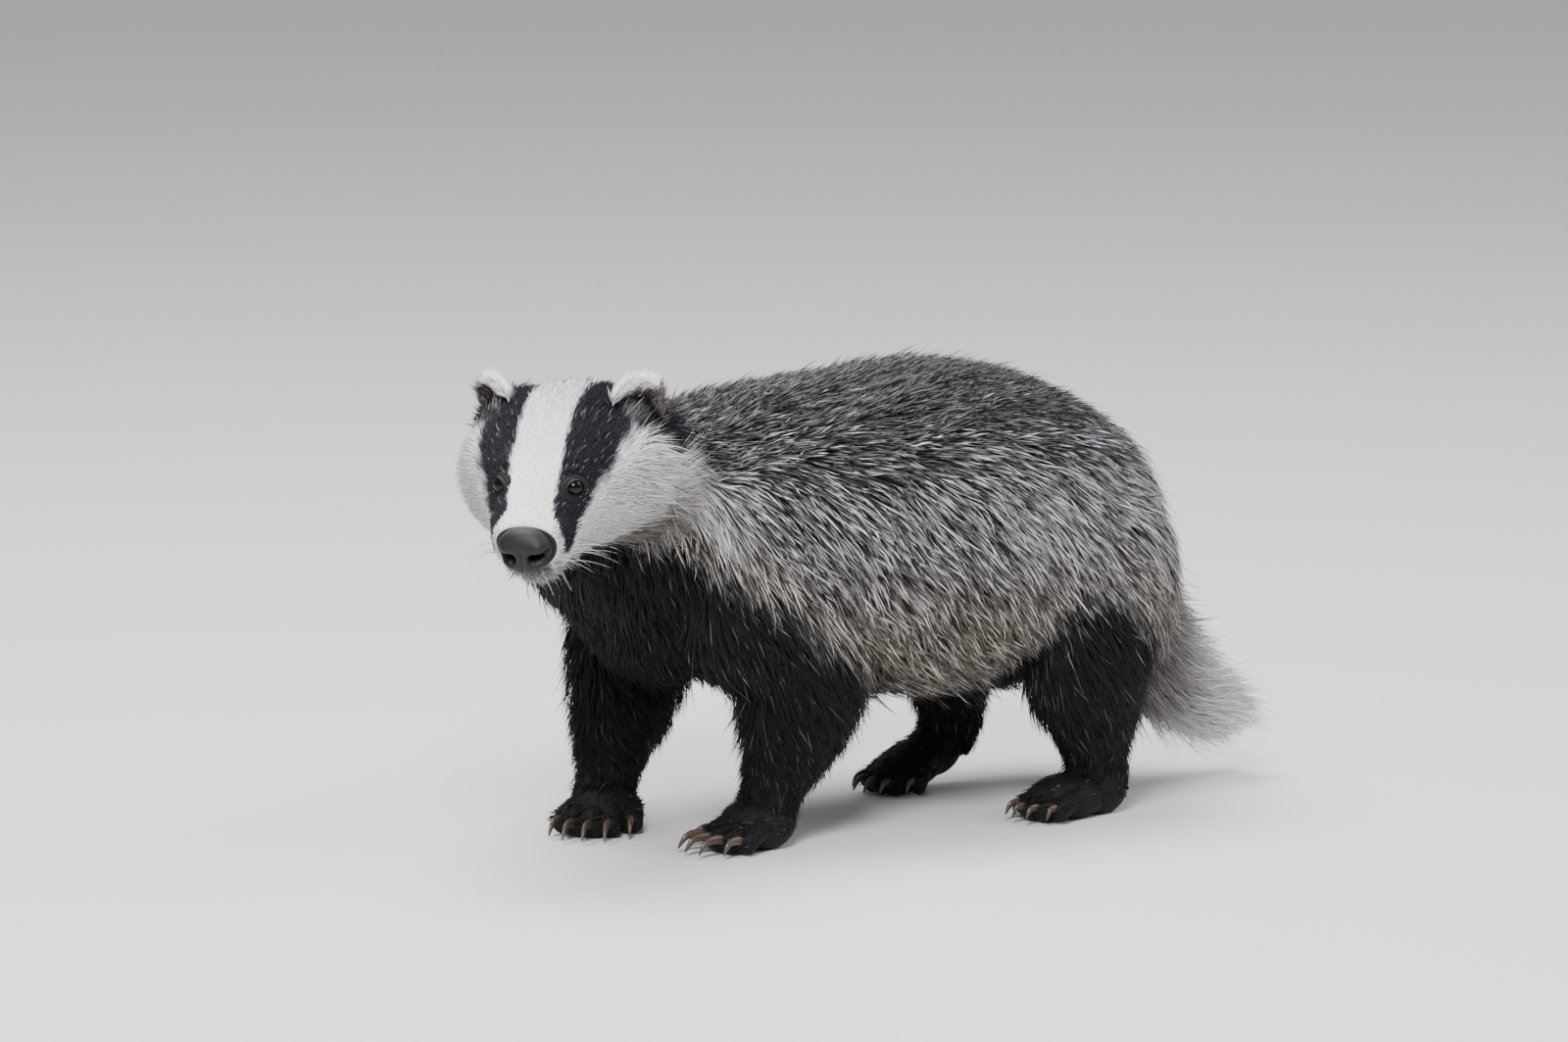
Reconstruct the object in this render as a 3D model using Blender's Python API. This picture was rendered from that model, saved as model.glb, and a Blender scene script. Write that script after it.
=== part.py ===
"""A European badger in mid step, life size, head turned to its left, as closed solids.

Metres, +Z up, head towards -X, its left side towards -Y. The origin is the middle of
the animal's box on the floor. Every flesh shape is a row table: a path with the
section's half width, the reach above it and the reach below it.
"""

import math

import bmesh
import bpy
import numpy as np
from mathutils import Matrix, Vector
from mathutils.bvhtree import BVHTree

# Driving sizes, in metres and degrees. The body plan is laid out with the middle of the
# trunk at x 0, y 0, and PLAN_SHIFT then brings the middle of the whole box to the origin.
PLAN_SHIFT = np.array((0.0355, 0.0157, 0.0))
GAP = 0.0003
HEAD_ROOT = np.array((-0.2714, -0.0499, 0.2966))
HEAD_TURN = 46.0
HEAD_PITCH = 19.6
EYE_SPOT = (0.1030, 0.0264, 0.0246)
EYE_RADIUS = 0.0062
EYE_FACING = (0.50, 0.72, 0.42)
LID_POINTS = 12
NOSE_BACK = 0.1440
EAR_SPOT = (0.019, 0.0508, 0.0265)
EAR_FACING = (0.70, 0.70, 0.12)
EAR_HEIGHT = 0.0385
EAR_HALF_WIDTH = 0.0205

# Rows of the trunk: x, y, z, half width, above, below, depth of coat outside the core.
# The sizes reach out to the tips of the coat, and the last rows lie inside the head.
TRUNK = (
    (0.224, 0.000, 0.190, 0.020, 0.025, 0.025, 0.012),
    (0.214, 0.000, 0.186, 0.054, 0.052, 0.050, 0.013),
    (0.192, 0.000, 0.186, 0.084, 0.077, 0.072, 0.014),
    (0.152, 0.000, 0.194, 0.112, 0.101, 0.096, 0.014),
    (0.100, 0.000, 0.202, 0.132, 0.120, 0.109, 0.014),
    (0.040, 0.000, 0.207, 0.141, 0.128, 0.113, 0.014),
    (-0.030, 0.000, 0.207, 0.135, 0.123, 0.111, 0.013),
    (-0.100, 0.000, 0.211, 0.122, 0.115, 0.108, 0.012),
    (-0.160, -0.002, 0.222, 0.108, 0.103, 0.095, 0.012),
    (-0.208, -0.010, 0.246, 0.092, 0.082, 0.088, 0.011),
    (-0.243, -0.024, 0.276, 0.076, 0.058, 0.070, 0.010),
    (-0.268, -0.047, 0.294, 0.065, 0.047, 0.051, 0.006),
    (-0.296, -0.076, 0.288, 0.058, 0.046, 0.044, 0.004),
)
# Rounded masses on the trunk: centre, half axes, depth of coat.
CHEST = ((-0.180, 0.000, 0.185), (0.060, 0.085, 0.075), 0.010)
SHOULDER = ((-0.140, 0.076, 0.200), (0.068, 0.044, 0.090), 0.011)
THIGH = ((0.132, 0.078, 0.172), (0.076, 0.052, 0.092), 0.012)
TAIL = (
    (0.186, 0.000, 0.188, 0.022, 0.022, 0.022, 0.004),
    (0.210, 0.000, 0.150, 0.031, 0.031, 0.031, 0.012),
    (0.230, 0.000, 0.112, 0.035, 0.036, 0.036, 0.017),
    (0.254, 0.000, 0.079, 0.034, 0.036, 0.036, 0.018),
    (0.282, 0.000, 0.058, 0.027, 0.029, 0.029, 0.016),
    (0.300, 0.000, 0.048, 0.012, 0.012, 0.012, 0.004),
)
# Rows of the legs: x, y, z, half width, reach ahead, reach behind, depth of coat.
LEGS = {
    "foreleg_right": (
        (-0.150, 0.070, 0.215, 0.048, 0.056, 0.060, 0.010),
        (-0.162, 0.067, 0.165, 0.046, 0.050, 0.056, 0.009),
        (-0.171, 0.062, 0.125, 0.043, 0.045, 0.052, 0.007),
        (-0.179, 0.057, 0.092, 0.035, 0.036, 0.042, 0.004),
        (-0.187, 0.053, 0.062, 0.026, 0.027, 0.030, 0.001),
        (-0.193, 0.050, 0.038, 0.021, 0.022, 0.022, 0.000),
        (-0.199, 0.048, 0.014, 0.020, 0.022, 0.020, 0.000),
    ),
    "foreleg_left": (
        (-0.120, -0.072, 0.215, 0.046, 0.060, 0.062, 0.010),
        (-0.112, -0.075, 0.165, 0.044, 0.056, 0.062, 0.009),
        (-0.108, -0.075, 0.125, 0.040, 0.050, 0.058, 0.007),
        (-0.110, -0.073, 0.092, 0.034, 0.041, 0.048, 0.004),
        (-0.117, -0.071, 0.062, 0.025, 0.028, 0.032, 0.001),
        (-0.125, -0.069, 0.038, 0.021, 0.021, 0.022, 0.000),
        (-0.131, -0.069, 0.014, 0.020, 0.022, 0.020, 0.000),
    ),
    "hindleg_left": (
        (0.136, -0.078, 0.205, 0.046, 0.070, 0.064, 0.012),
        (0.130, -0.084, 0.165, 0.045, 0.064, 0.066, 0.010),
        (0.126, -0.086, 0.125, 0.041, 0.053, 0.058, 0.008),
        (0.130, -0.083, 0.092, 0.034, 0.042, 0.046, 0.004),
        (0.139, -0.080, 0.062, 0.025, 0.029, 0.030, 0.001),
        (0.145, -0.077, 0.038, 0.021, 0.024, 0.022, 0.000),
        (0.145, -0.076, 0.014, 0.019, 0.024, 0.020, 0.000),
    ),
    "hindleg_right": (
        (0.136, 0.078, 0.205, 0.046, 0.070, 0.064, 0.012),
        (0.122, 0.082, 0.160, 0.044, 0.060, 0.060, 0.010),
        (0.108, 0.081, 0.125, 0.037, 0.046, 0.048, 0.007),
        (0.104, 0.077, 0.095, 0.029, 0.033, 0.035, 0.003),
        (0.108, 0.074, 0.070, 0.023, 0.025, 0.026, 0.000),
        (0.109, 0.072, 0.048, 0.020, 0.022, 0.022, 0.000),
        (0.102, 0.071, 0.028, 0.019, 0.022, 0.020, 0.000),
    ),
}
# Paws: leg, wrist or heel place, heading in degrees to the left of -X, heel lift.
PAWS = {
    "forepaw_right": ("foreleg_right", (-0.196, 0.047), 46.0, 0.0),
    "forepaw_left": ("foreleg_left", (-0.131, -0.069), 8.0, 0.0),
    "hindpaw_left": ("hindleg_left", (0.144, -0.077), 8.0, 0.0),
    "hindpaw_right": ("hindleg_right", (0.098, 0.071), 14.0, 14.0),
}
# Head rows: distance ahead of the head's root, half width, top, bottom.
HEAD = (
    (-0.018, 0.0560, 0.0425, 0.0400),
    (-0.004, 0.0645, 0.0500, 0.0470),
    (0.020, 0.0690, 0.0550, 0.0510),
    (0.045, 0.0728, 0.0555, 0.0500),
    (0.070, 0.0645, 0.0500, 0.0435),
    (0.092, 0.0480, 0.0420, 0.0355),
    (0.112, 0.0365, 0.0320, 0.0295),
    (0.130, 0.0290, 0.0230, 0.0260),
    (0.144, 0.0212, 0.0148, 0.0204),
)
# Planes that part the legs: height at the midline, and how much higher they are outside.
LEG_PART_HEIGHT = 0.112
LEG_PART_SLOPE = 24.0
FORE_ROOM_END = -0.045
HIND_ROOM_START = 0.052
PAW_PART_HEIGHT = 0.046
RAISED_HEEL_PART = 0.012
NECK_PART = ((-0.205, -0.010, 0.235), (-0.86, -0.28, 0.42))
# Locks of the coat: how deep the root sinks, how clear a lock stays of another node, its
# rows of three points with their share of its width, and the tries at a smaller one.
ROOT_DEPTH = 0.006
CLEARANCE = 0.0006
LOCK_STEPS = (0.0, 0.38, 0.72)
LOCK_WIDTHS = (0.70, 1.0, 0.74)
LOCK_THICKNESS = 0.0060
LEAST_ADVANCE = 0.12
LOCK_TRIES = ((1.0, 1.0), (0.8, 0.85), (0.6, 0.7), (0.45, 0.55))
# Tiers of locks: shares of the trunk's and the tail's tables, and down each leg the
# height, the number round it, the length and the width.
TRUNK_TIERS = (0.13, 0.24, 0.35, 0.46, 0.57, 0.68, 0.775)
NECK_TIERS = (0.89, 0.83)
TAIL_TIERS = ((0.28, 0.052), (0.50, 0.046), (0.73, 0.034))
LEG_TIERS = ((0.136, 5, 0.050, 0.044), (0.103, 5, 0.042, 0.040), (0.078, 4, 0.028, 0.034))
LEG_FRINGE = 0.003
RUMP_CENTRE = (0.140, 0.0, 0.195)
RUMP_TIERS = ((26.0, 4), (58.0, 6))

COLOURS = {
    "coat_grey": (0.30, 0.29, 0.28, 1.0),
    "coat_black": (0.018, 0.017, 0.018, 1.0),
    "coat_white": (0.74, 0.73, 0.70, 1.0),
    "nose_skin": (0.030, 0.026, 0.028, 1.0),
    "eye_dark": (0.010, 0.008, 0.007, 1.0),
    "claw_horn": (0.28, 0.23, 0.18, 1.0),
}
ROUGHNESS = {"nose_skin": 0.42, "eye_dark": 0.06, "claw_horn": 0.38}


def clear_scene():
    for obj in list(bpy.data.objects):
        bpy.data.objects.remove(obj)


def material(name):
    found = bpy.data.materials.get(name)
    if found:
        return found
    made = bpy.data.materials.new(name)
    made.use_nodes = True
    shader = made.node_tree.nodes["Principled BSDF"]
    shader.inputs["Base Color"].default_value = COLOURS[name]
    shader.inputs["Roughness"].default_value = ROUGHNESS.get(name, 0.8)
    shader.inputs["Metallic"].default_value = 0.0
    return made


def unit(v):
    v = np.asarray(v, float)
    return v / np.linalg.norm(v, axis=-1, keepdims=True)


def through(knots, count):
    """A smooth line of count points through the knots: a cubic with Catmull-Rom slopes."""
    knots = np.asarray(knots, float)
    slope = np.gradient(knots, axis=0)
    at = np.linspace(0, len(knots) - 1, count)
    low = np.minimum(at.astype(int), len(knots) - 2)
    t = (at - low)[:, None]
    return (
        knots[low] * (2 * t**3 - 3 * t**2 + 1)
        + knots[low + 1] * (3 * t**2 - 2 * t**3)
        + slope[low] * (t**3 - 2 * t**2 + t)
        + slope[low + 1] * (t**3 - t**2)
    )


def rounded(angle, power):
    """The unit superellipse at these angles, as (across, up)."""
    c, s = np.cos(angle), np.sin(angle)
    return (
        np.sign(c) * np.abs(c) ** (2 / power),
        np.sign(s) * np.abs(s) ** (2 / power),
    )


def loft(rows, rings, sides, up=(0, 0, 1), power=2.2):
    """The core along the rows' path: rings inside the coat, superellipses square to the path."""
    table = through(rows, rings)
    centre = table[:, :3]
    size = np.maximum(table[:, 3:6] - table[:, 6:], 0.004)
    tangent = unit(np.gradient(centre, axis=0))
    side = unit(np.cross(tangent, np.asarray(up, float)))
    top = np.cross(side, tangent)
    angle = np.arange(sides) * 2 * math.pi / sides
    across, rise = rounded(angle, power)
    reach = np.where(rise > 0, size[:, 1:2], size[:, 2:3]) * rise
    points = (
        centre[:, None]
        + side[:, None] * (size[:, :1] * across)[..., None]
        + top[:, None] * reach[..., None]
    )
    return closed_rings(points)


def closed_rings(points):
    """Verts and faces of a grid of rings, its two ends closed to a middle point."""
    rings, sides, _ = points.shape
    verts = np.concatenate([points.reshape(-1, 3), points[0].mean(0)[None], points[-1].mean(0)[None]])
    index = np.arange(rings * sides).reshape(rings, sides)
    turn = np.roll(index, -1, axis=1)
    quads = np.stack([index[:-1], index[1:], turn[1:], turn[:-1]], -1).reshape(-1, 4)
    first, last = rings * sides, rings * sides + 1
    faces = [tuple(q) for q in quads]
    faces += [(first, a, b) for a, b in zip(index[0], turn[0])]
    faces += [(last, b, a) for a, b in zip(index[-1], turn[-1])]
    return verts, faces


def ball(centre, radii, coat=0.0, rings=14, sides=20):
    """An ellipsoid inside its coat, as closed rings from pole to pole."""
    radii = np.asarray(radii, float) - coat
    polar = np.linspace(0.04, math.pi - 0.04, rings)
    angle = np.arange(sides) * 2 * math.pi / sides
    points = np.stack(
        [
            np.sin(polar)[:, None] * np.cos(angle) * radii[0],
            np.sin(polar)[:, None] * np.sin(angle) * radii[1],
            np.cos(polar)[:, None] * np.ones(sides) * radii[2],
        ],
        -1,
    )
    return closed_rings(points + np.asarray(centre, float))


def grown(shape, amount):
    """The shape with its faces moved outwards by the amount."""
    work = bmesh.new()
    points = [work.verts.new(p) for p in shape[0]]
    for face in shape[1]:
        work.faces.new([points[i] for i in face])
    bmesh.ops.recalc_face_normals(work, faces=work.faces)
    work.normal_update()
    moved = [p.co + p.normal * amount * min(p.calc_shell_factor(), 2.5) for p in points]
    moved = np.array([tuple(m) for m in moved])
    work.free()
    return moved, shape[1]


def mirrored(place, side):
    return (place[0], place[1] * side, place[2])


def new_object(name, verts, faces, slot="coat_grey"):
    """A mesh object whose faces point outwards."""
    mesh = bpy.data.meshes.new(name)
    mesh.from_pydata([tuple(v) for v in verts], [], [tuple(int(i) for i in f) for f in faces])
    work = bmesh.new()
    work.from_mesh(mesh)
    bmesh.ops.recalc_face_normals(work, faces=work.faces)
    work.to_mesh(mesh)
    work.free()
    mesh.materials.append(material(slot))
    obj = bpy.data.objects.new(name, mesh)
    bpy.context.scene.collection.objects.link(obj)
    return obj


def joined(shapes):
    """Several shapes' verts and faces as one list each."""
    verts, faces, start = [], [], 0
    for points, polygons in shapes:
        verts.append(points)
        faces += [tuple(i + start for i in f) for f in polygons]
        start += len(points)
    return np.concatenate(verts), faces


def apply_modifiers(obj):
    graph = bpy.context.evaluated_depsgraph_get()
    graph.update()
    mesh = bpy.data.meshes.new_from_object(obj.evaluated_get(graph))
    old = obj.data
    obj.modifiers.clear()
    obj.data = mesh
    bpy.data.meshes.remove(old)


def melted(name, shapes, voxel, rounds, triangles, slot="coat_grey"):
    """Shapes melted into one skin, its creases eased, then thinned to about that many triangles."""
    obj = new_object(name, *joined(shapes), slot)
    melt = obj.modifiers.new("melt", "REMESH")
    melt.mode = "VOXEL"
    melt.voxel_size = voxel
    ease = obj.modifiers.new("ease", "SMOOTH")
    ease.factor = 0.5
    ease.iterations = rounds
    apply_modifiers(obj)
    thin(obj, triangles)
    return obj


def thin(obj, triangles):
    obj.data.calc_loop_triangles()
    share = triangles / max(len(obj.data.loop_triangles), 1)
    if share < 1:
        fewer = obj.modifiers.new("fewer", "DECIMATE")
        fewer.ratio = share
        apply_modifiers(obj)


def boolean(obj, others, operation, solver="EXACT"):
    """Cuts or joins the other objects with obj, then removes them."""
    group = bpy.data.collections.new("tools")
    for other in others:
        group.objects.link(other)
    change = obj.modifiers.new("change", "BOOLEAN")
    change.operation = operation
    change.solver = solver
    change.operand_type = "COLLECTION"
    change.collection = group
    apply_modifiers(obj)
    for other in others:
        bpy.data.objects.remove(other)
    bpy.data.collections.remove(group)


def cut_copy(obj, name, cutters, operation):
    """A copy of obj under another name, cut by these shapes."""
    copy = bpy.data.objects.new(name, obj.data.copy())
    bpy.context.scene.collection.objects.link(copy)
    for number, shape in enumerate(cutters):
        boolean(copy, [new_object(f"cutter_{number}", *shape)], operation)
    keep_largest(copy)
    return copy


def keep_largest(obj):
    """Drops every closed surface of the mesh but the one with the largest box."""
    work = bmesh.new()
    work.from_mesh(obj.data)
    bmesh.ops.remove_doubles(work, verts=work.verts, dist=1e-6)
    left, groups = set(work.verts), []
    while left:
        stack = [left.pop()]
        group = set(stack)
        while stack:
            for edge in stack.pop().link_edges:
                for vert in edge.verts:
                    if vert in left:
                        left.discard(vert)
                        group.add(vert)
                        stack.append(vert)
        groups.append(group)
    groups.sort(key=len)
    for group in groups[:-1]:
        bmesh.ops.delete(work, geom=list(group), context="VERTS")
    work.to_mesh(obj.data)
    work.free()


def flatten(obj, point, normal):
    """Takes off what lies past a plane, and closes the cut with a flat face."""
    work = bmesh.new()
    work.from_mesh(obj.data)
    geometry = list(work.verts) + list(work.edges) + list(work.faces)
    bmesh.ops.bisect_plane(
        work, geom=geometry, plane_co=Vector(point), plane_no=Vector(normal), clear_outer=True, dist=1e-7
    )
    rim = [edge for edge in work.edges if edge.is_boundary]
    bmesh.ops.holes_fill(work, edges=rim, sides=0)
    bmesh.ops.recalc_face_normals(work, faces=work.faces)
    work.to_mesh(obj.data)
    work.free()


def block(centre, axes, low, high):
    """A box from low to high along three axes about a centre."""
    corners = [(x, y, z) for x in (low[0], high[0]) for y in (low[1], high[1]) for z in (low[2], high[2])]
    verts = np.asarray(centre, float) + np.asarray(corners) @ np.asarray(axes, float)
    faces = [(0, 1, 3, 2), (4, 6, 7, 5), (0, 4, 5, 1), (2, 3, 7, 6), (0, 2, 6, 4), (1, 5, 7, 3)]
    return verts, faces


def head_axes():
    """The head's forward, left and up directions."""
    turn, pitch = math.radians(HEAD_TURN), math.radians(HEAD_PITCH)
    level = np.array((-math.cos(turn), -math.sin(turn), 0.0))
    forward = level * math.cos(pitch) + np.array((0, 0, -math.sin(pitch)))
    left = np.array((-level[1], level[0], 0.0))
    return np.array((forward, left, np.cross(forward, left)))


def in_head(places):
    """Places given ahead of, left of and above the head's root, in the plan."""
    return HEAD_ROOT + np.asarray(places, float) @ head_axes()


def head_points(rings, sides):
    """The head's rings: superellipses, with brow, cheekbone and eye hollow raised or sunk."""
    table = through(HEAD, rings)
    angle = np.arange(sides) * 2 * math.pi / sides + math.pi / 2
    across, rise = rounded(angle, 2.15)
    reach = np.where(rise > 0, table[:, 2:3], table[:, 3:4])
    local = np.stack([table[:, :1] + 0 * across, table[:, 1:2] * across, reach * rise], -1)
    away = unit(np.concatenate([0 * local[..., :1], local[..., 1:]], -1))
    ahead, aside, up = EYE_SPOT
    dents = (
        ((ahead + 0.001, aside + 0.003, up + 0.002), 0.011, -0.0036),
        ((ahead - 0.016, aside + 0.001, up + 0.014), 0.013, 0.0028),
        ((ahead - 0.012, aside + 0.014, up - 0.014), 0.017, 0.0030),
        ((ahead + 0.020, aside - 0.002, up - 0.006), 0.012, -0.0022),
        ((ahead + 0.036, aside - 0.008, up - 0.024), 0.012, 0.0022),
    )
    for place, radius, height in dents:
        for side in (1, -1):
            distance = np.linalg.norm(local - np.array(mirrored(place, side)), axis=-1)
            local = local + away * (height * np.exp(-((distance / radius) ** 2)))[..., None]
    return in_head(local)


def ring_tube(centres, radii, sides, up):
    """A round tube with its own radius at each centre, closed at both ends."""
    tangent = unit(np.gradient(centres, axis=0))
    side = unit(np.cross(tangent, np.asarray(up, float)))
    top = np.cross(side, tangent)
    angle = np.arange(sides) * 2 * math.pi / sides
    reach = np.asarray(radii, float)[:, None, None]
    return closed_rings(
        centres[:, None]
        + reach * (side[:, None] * np.cos(angle)[:, None] + top[:, None] * np.sin(angle)[:, None])
    )


def lid(side):
    """The raised rim round one eye: a thin ring, longer than high."""
    facing = unit(mirrored(EYE_FACING, side))
    along = unit(np.cross((0, 0, 1), facing))
    high = np.cross(facing, along)
    middle = np.array(mirrored(EYE_SPOT, side)) + facing * (EYE_RADIUS * 0.50)
    turn = np.arange(LID_POINTS) * 2 * math.pi / LID_POINTS
    line = (
        middle
        + along * (np.cos(turn) * EYE_RADIUS * 1.14)[:, None]
        + high * (np.sin(turn) * EYE_RADIUS * 0.98)[:, None]
    )
    around = np.arange(5) * 2 * math.pi / 5
    outward = unit(line - middle)
    points = line[:, None] + 0.0020 * (
        outward[:, None] * np.cos(around)[:, None] + facing * np.sin(around)[:, None]
    )
    index = np.arange(LID_POINTS * 5).reshape(LID_POINTS, 5)
    after = np.roll(index, -1, axis=0)
    faces = np.stack([index, after, np.roll(after, -1, axis=1), np.roll(index, -1, axis=1)], -1)
    return in_head(points.reshape(-1, 3)), [tuple(f) for f in faces.reshape(-1, 4)]


def eye_shape(side, grow=0.0):
    centre = in_head([mirrored(EYE_SPOT, side)])[0]
    return ball(centre, [EYE_RADIUS + grow] * 3, rings=7, sides=10)


def ear_shape(side):
    """A round-topped cup: an outer sheet and an inner one sunk into it, joined at the rim."""
    across_count, up_count = 7, 6
    u = np.sin(np.linspace(-0.5, 0.5, across_count) * math.pi)
    v = np.linspace(0, 1, up_count)[:, None] ** 0.8
    half = EAR_HALF_WIDTH * np.sqrt(np.clip(1 - np.maximum(v - 0.45, 0) ** 2 / 0.31, 0.03, 1))
    width = half * (0.80 + 0.20 * np.minimum(v / 0.45, 1)) * u
    height = EAR_HEIGHT * (v - 0.10 * v * (1 - u**2) * (v - 1)) + 0 * u
    hollow = 0.012 * (1 - u**2) * (1 - v**3)
    rim = 0.0014
    outer = np.stack([-hollow - rim, width, height], -1)
    inner = np.stack([-0.80 * hollow + rim, width, height], -1)
    local = np.concatenate([outer.reshape(-1, 3), inner.reshape(-1, 3)])
    grid = np.arange(across_count * up_count).reshape(up_count, across_count)
    quads = np.stack([grid[:-1, :-1], grid[:-1, 1:], grid[1:, 1:], grid[1:, :-1]], -1).reshape(-1, 4)
    faces = [tuple(q) for q in quads]
    step = across_count * up_count
    faces += [tuple(i + step for i in q[::-1]) for q in faces]
    edge = list(grid[0]) + list(grid[1:, -1]) + list(grid[-1, -2::-1]) + list(grid[-2:0:-1, 0])
    faces += [(a, b, b + step, a + step) for a, b in zip(edge, edge[1:] + edge[:1])]
    facing = unit(mirrored(EAR_FACING, side))
    up = unit(mirrored((-0.05, 0.22, 1.0), side))
    along = unit(np.cross(up, facing))
    up = np.cross(facing, along)
    root = np.array(mirrored(EAR_SPOT, side))
    return in_head(root + local @ np.array((facing, along, up))), faces


def nose_shape():
    """The bare nose pad: a short blunt drum, wider than high, rounded to its front."""
    rows = np.array(
        (
            (NOSE_BACK + GAP, 0.0178, 0.0126, 0.0150),
            (NOSE_BACK + 0.0035, 0.0196, 0.0134, 0.0168),
            (NOSE_BACK + 0.0080, 0.0193, 0.0130, 0.0172),
            (NOSE_BACK + 0.0115, 0.0164, 0.0106, 0.0156),
            (NOSE_BACK + 0.0135, 0.0110, 0.0060, 0.0110),
        )
    )
    table = through(rows, 7)
    angle = np.arange(14) * 2 * math.pi / 14
    across, rise = rounded(angle, 2.3)
    reach = np.where(rise > 0, table[:, 2:3], table[:, 3:4])
    local = np.stack([table[:, :1] + 0 * across, table[:, 1:2] * across, reach * rise], -1)
    return closed_rings(in_head(local))


def nostril(side):
    """A comma-shaped pit: a short tube that runs from the front out to the side."""
    knots = np.array(
        (
            (NOSE_BACK + 0.0175, 0.0070, -0.0050),
            (NOSE_BACK + 0.0110, 0.0088, -0.0045),
            (NOSE_BACK + 0.0080, 0.0140, -0.0030),
            (NOSE_BACK + 0.0085, 0.0230, 0.0010),
        )
    )
    line = through([mirrored(k, side) for k in knots], 5)
    radii = (0.0036, 0.0032, 0.0025, 0.0018, 0.0011)
    verts, faces = ring_tube(line, radii, 7, (0, 0, 1))
    return in_head(verts), faces


def heading(degrees):
    """Forward, left and up for something that faces this far to the left of -X."""
    turn = math.radians(degrees)
    forward = np.array((-math.cos(turn), -math.sin(turn), 0.0))
    return np.array((forward, np.array((-forward[1], forward[0], 0.0)), (0.0, 0.0, 1.0)))


def paw_plan(name):
    """Digit lines of a paw, each from knuckle to tip, ahead, left and up of its wrist."""
    fore = name.startswith("fore")
    inner = 1 if name.endswith("left") else -1
    reach = (0.020, 0.038, 0.043, 0.042, 0.034) if fore else (0.044, 0.058, 0.062, 0.060, 0.052)
    spread = (-0.025, -0.0135, -0.001, 0.0115, 0.023) if fore else (-0.023, -0.0125, -0.001, 0.0105, 0.021)
    radius = 0.0088 if fore else 0.0080
    lines = []
    for ahead, aside in zip(reach, spread):
        # The inner toe is the first of each list, and lies towards the other paw.
        lines.append(
            np.array(
                (
                    (ahead - 0.024, aside * 0.72 * inner, 0.0190),
                    (ahead - 0.010, aside * 0.92 * inner, 0.0150),
                    (ahead, aside * inner, 0.0085),
                )
            )
        )
    return lines, radius


def paw_frame(name):
    """Turns a paw's own places into the plan, the heel lifted about the toes."""
    _, (x, y), degrees, lift = PAWS[name]
    axes = heading(degrees)
    pivot = np.array((0.048, 0.0, 0.0))
    angle = math.radians(lift)
    raise_heel = np.array(
        ((math.cos(angle), 0, -math.sin(angle)), (0, 1, 0), (math.sin(angle), 0, math.cos(angle)))
    )

    def place(points):
        points = np.asarray(points, float)
        behind = np.clip((pivot[0] - points[..., :1]) / 0.02, 0, 1)
        lifted = pivot + (points - pivot) @ raise_heel
        return np.array((x, y, 0.0)) + (points * (1 - behind) + lifted * behind) @ axes

    return place


def make_paw(name):
    """Palm, heel, toes and the foot of the leg melted into one, flat under the sole."""
    place = paw_frame(name)
    lines, radius = paw_plan(name)
    if name.startswith("fore"):
        shapes = [ball((0.006, 0.0, 0.0165), (0.030, 0.0265, 0.0205))]
    else:
        shapes = [ball((0.028, 0.0, 0.0145), (0.034, 0.0245, 0.0180))]
        shapes.append(ball((0.000, 0.0, 0.0170), (0.0255, 0.0200, 0.0205)))
    for line in lines:
        tip = line[-1] + (line[-1] - line[-2]) * 0.35
        centres = through(np.concatenate([line, [tip]]), 8)
        radii = radius * np.array((0.95, 1.0, 1.0, 1.0, 1.0, 0.97, 0.80, 0.42))
        shapes.append(ring_tube(centres, radii, 10, (0, 0, 1)))
    placed = [(place(verts), faces) for verts, faces in shapes]
    placed.append(leg_shape(PAWS[name][0]))
    obj = melted(name, placed, 0.0024, 3, 1400, "coat_black")
    flatten(obj, (0, 0, 0), (0, 0, -1))
    flatten(obj, (0, 0, part_height(PAWS[name][0])), (0, 0, 1))
    keep_largest(obj)
    thin(obj, 260)
    return obj


def part_height(leg):
    return PAW_PART_HEIGHT + (RAISED_HEEL_PART if leg == "hindleg_right" else 0.0)


def leg_shape(leg):
    return loft(LEGS[leg], 22, 20, up=(-1, 0, 0))


def claw_shape(name, number):
    """One curved claw: a tapering tube, deeper than wide, from inside the toe to its point."""
    fore = name.startswith("fore")
    place = paw_frame(name)
    line = paw_plan(name)[0][number]
    length = (0.0255 if fore else 0.0150) * (0.86 if number in (0, 4) else 1.0)
    root = line[-1] + np.array((0.0015, 0.0, 0.0022))
    forward = unit((line[-1] - line[-2]) * (1, 1, 0))
    knots = [
        root - forward * 0.0045,
        root + forward * length * 0.30 + np.array((0, 0, 0.0012)),
        root + forward * length * 0.62 + np.array((0, 0, -0.0012)),
        root + forward * length * 0.88 + np.array((0, 0, -0.0068)),
    ]
    if not fore:
        knots[-1] = knots[-1] + np.array((0, 0, 0.0010))
    centres = through(knots, 5)
    size = np.array((0.0031, 0.0031, 0.0026, 0.0019, 0.0006)) * (1.0 if fore else 0.86)
    verts, faces = ring_tube(centres, size, 5, (0, 0, 1))
    return place(verts), faces


def shifted(shape):
    return shape[0] + PLAN_SHIFT, shape[1]


def whole_flesh():
    """Trunk, masses and legs melted into one core."""
    shapes = [loft(TRUNK, 40, 32), ball(*CHEST)]
    for centre, radii, coat in (SHOULDER, THIGH):
        shapes += [ball(mirrored(centre, side), radii, coat) for side in (-1, 1)]
    shapes += [leg_shape(leg) for leg in LEGS]
    return melted("flesh", shapes, 0.006, 7, 1700)


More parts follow.
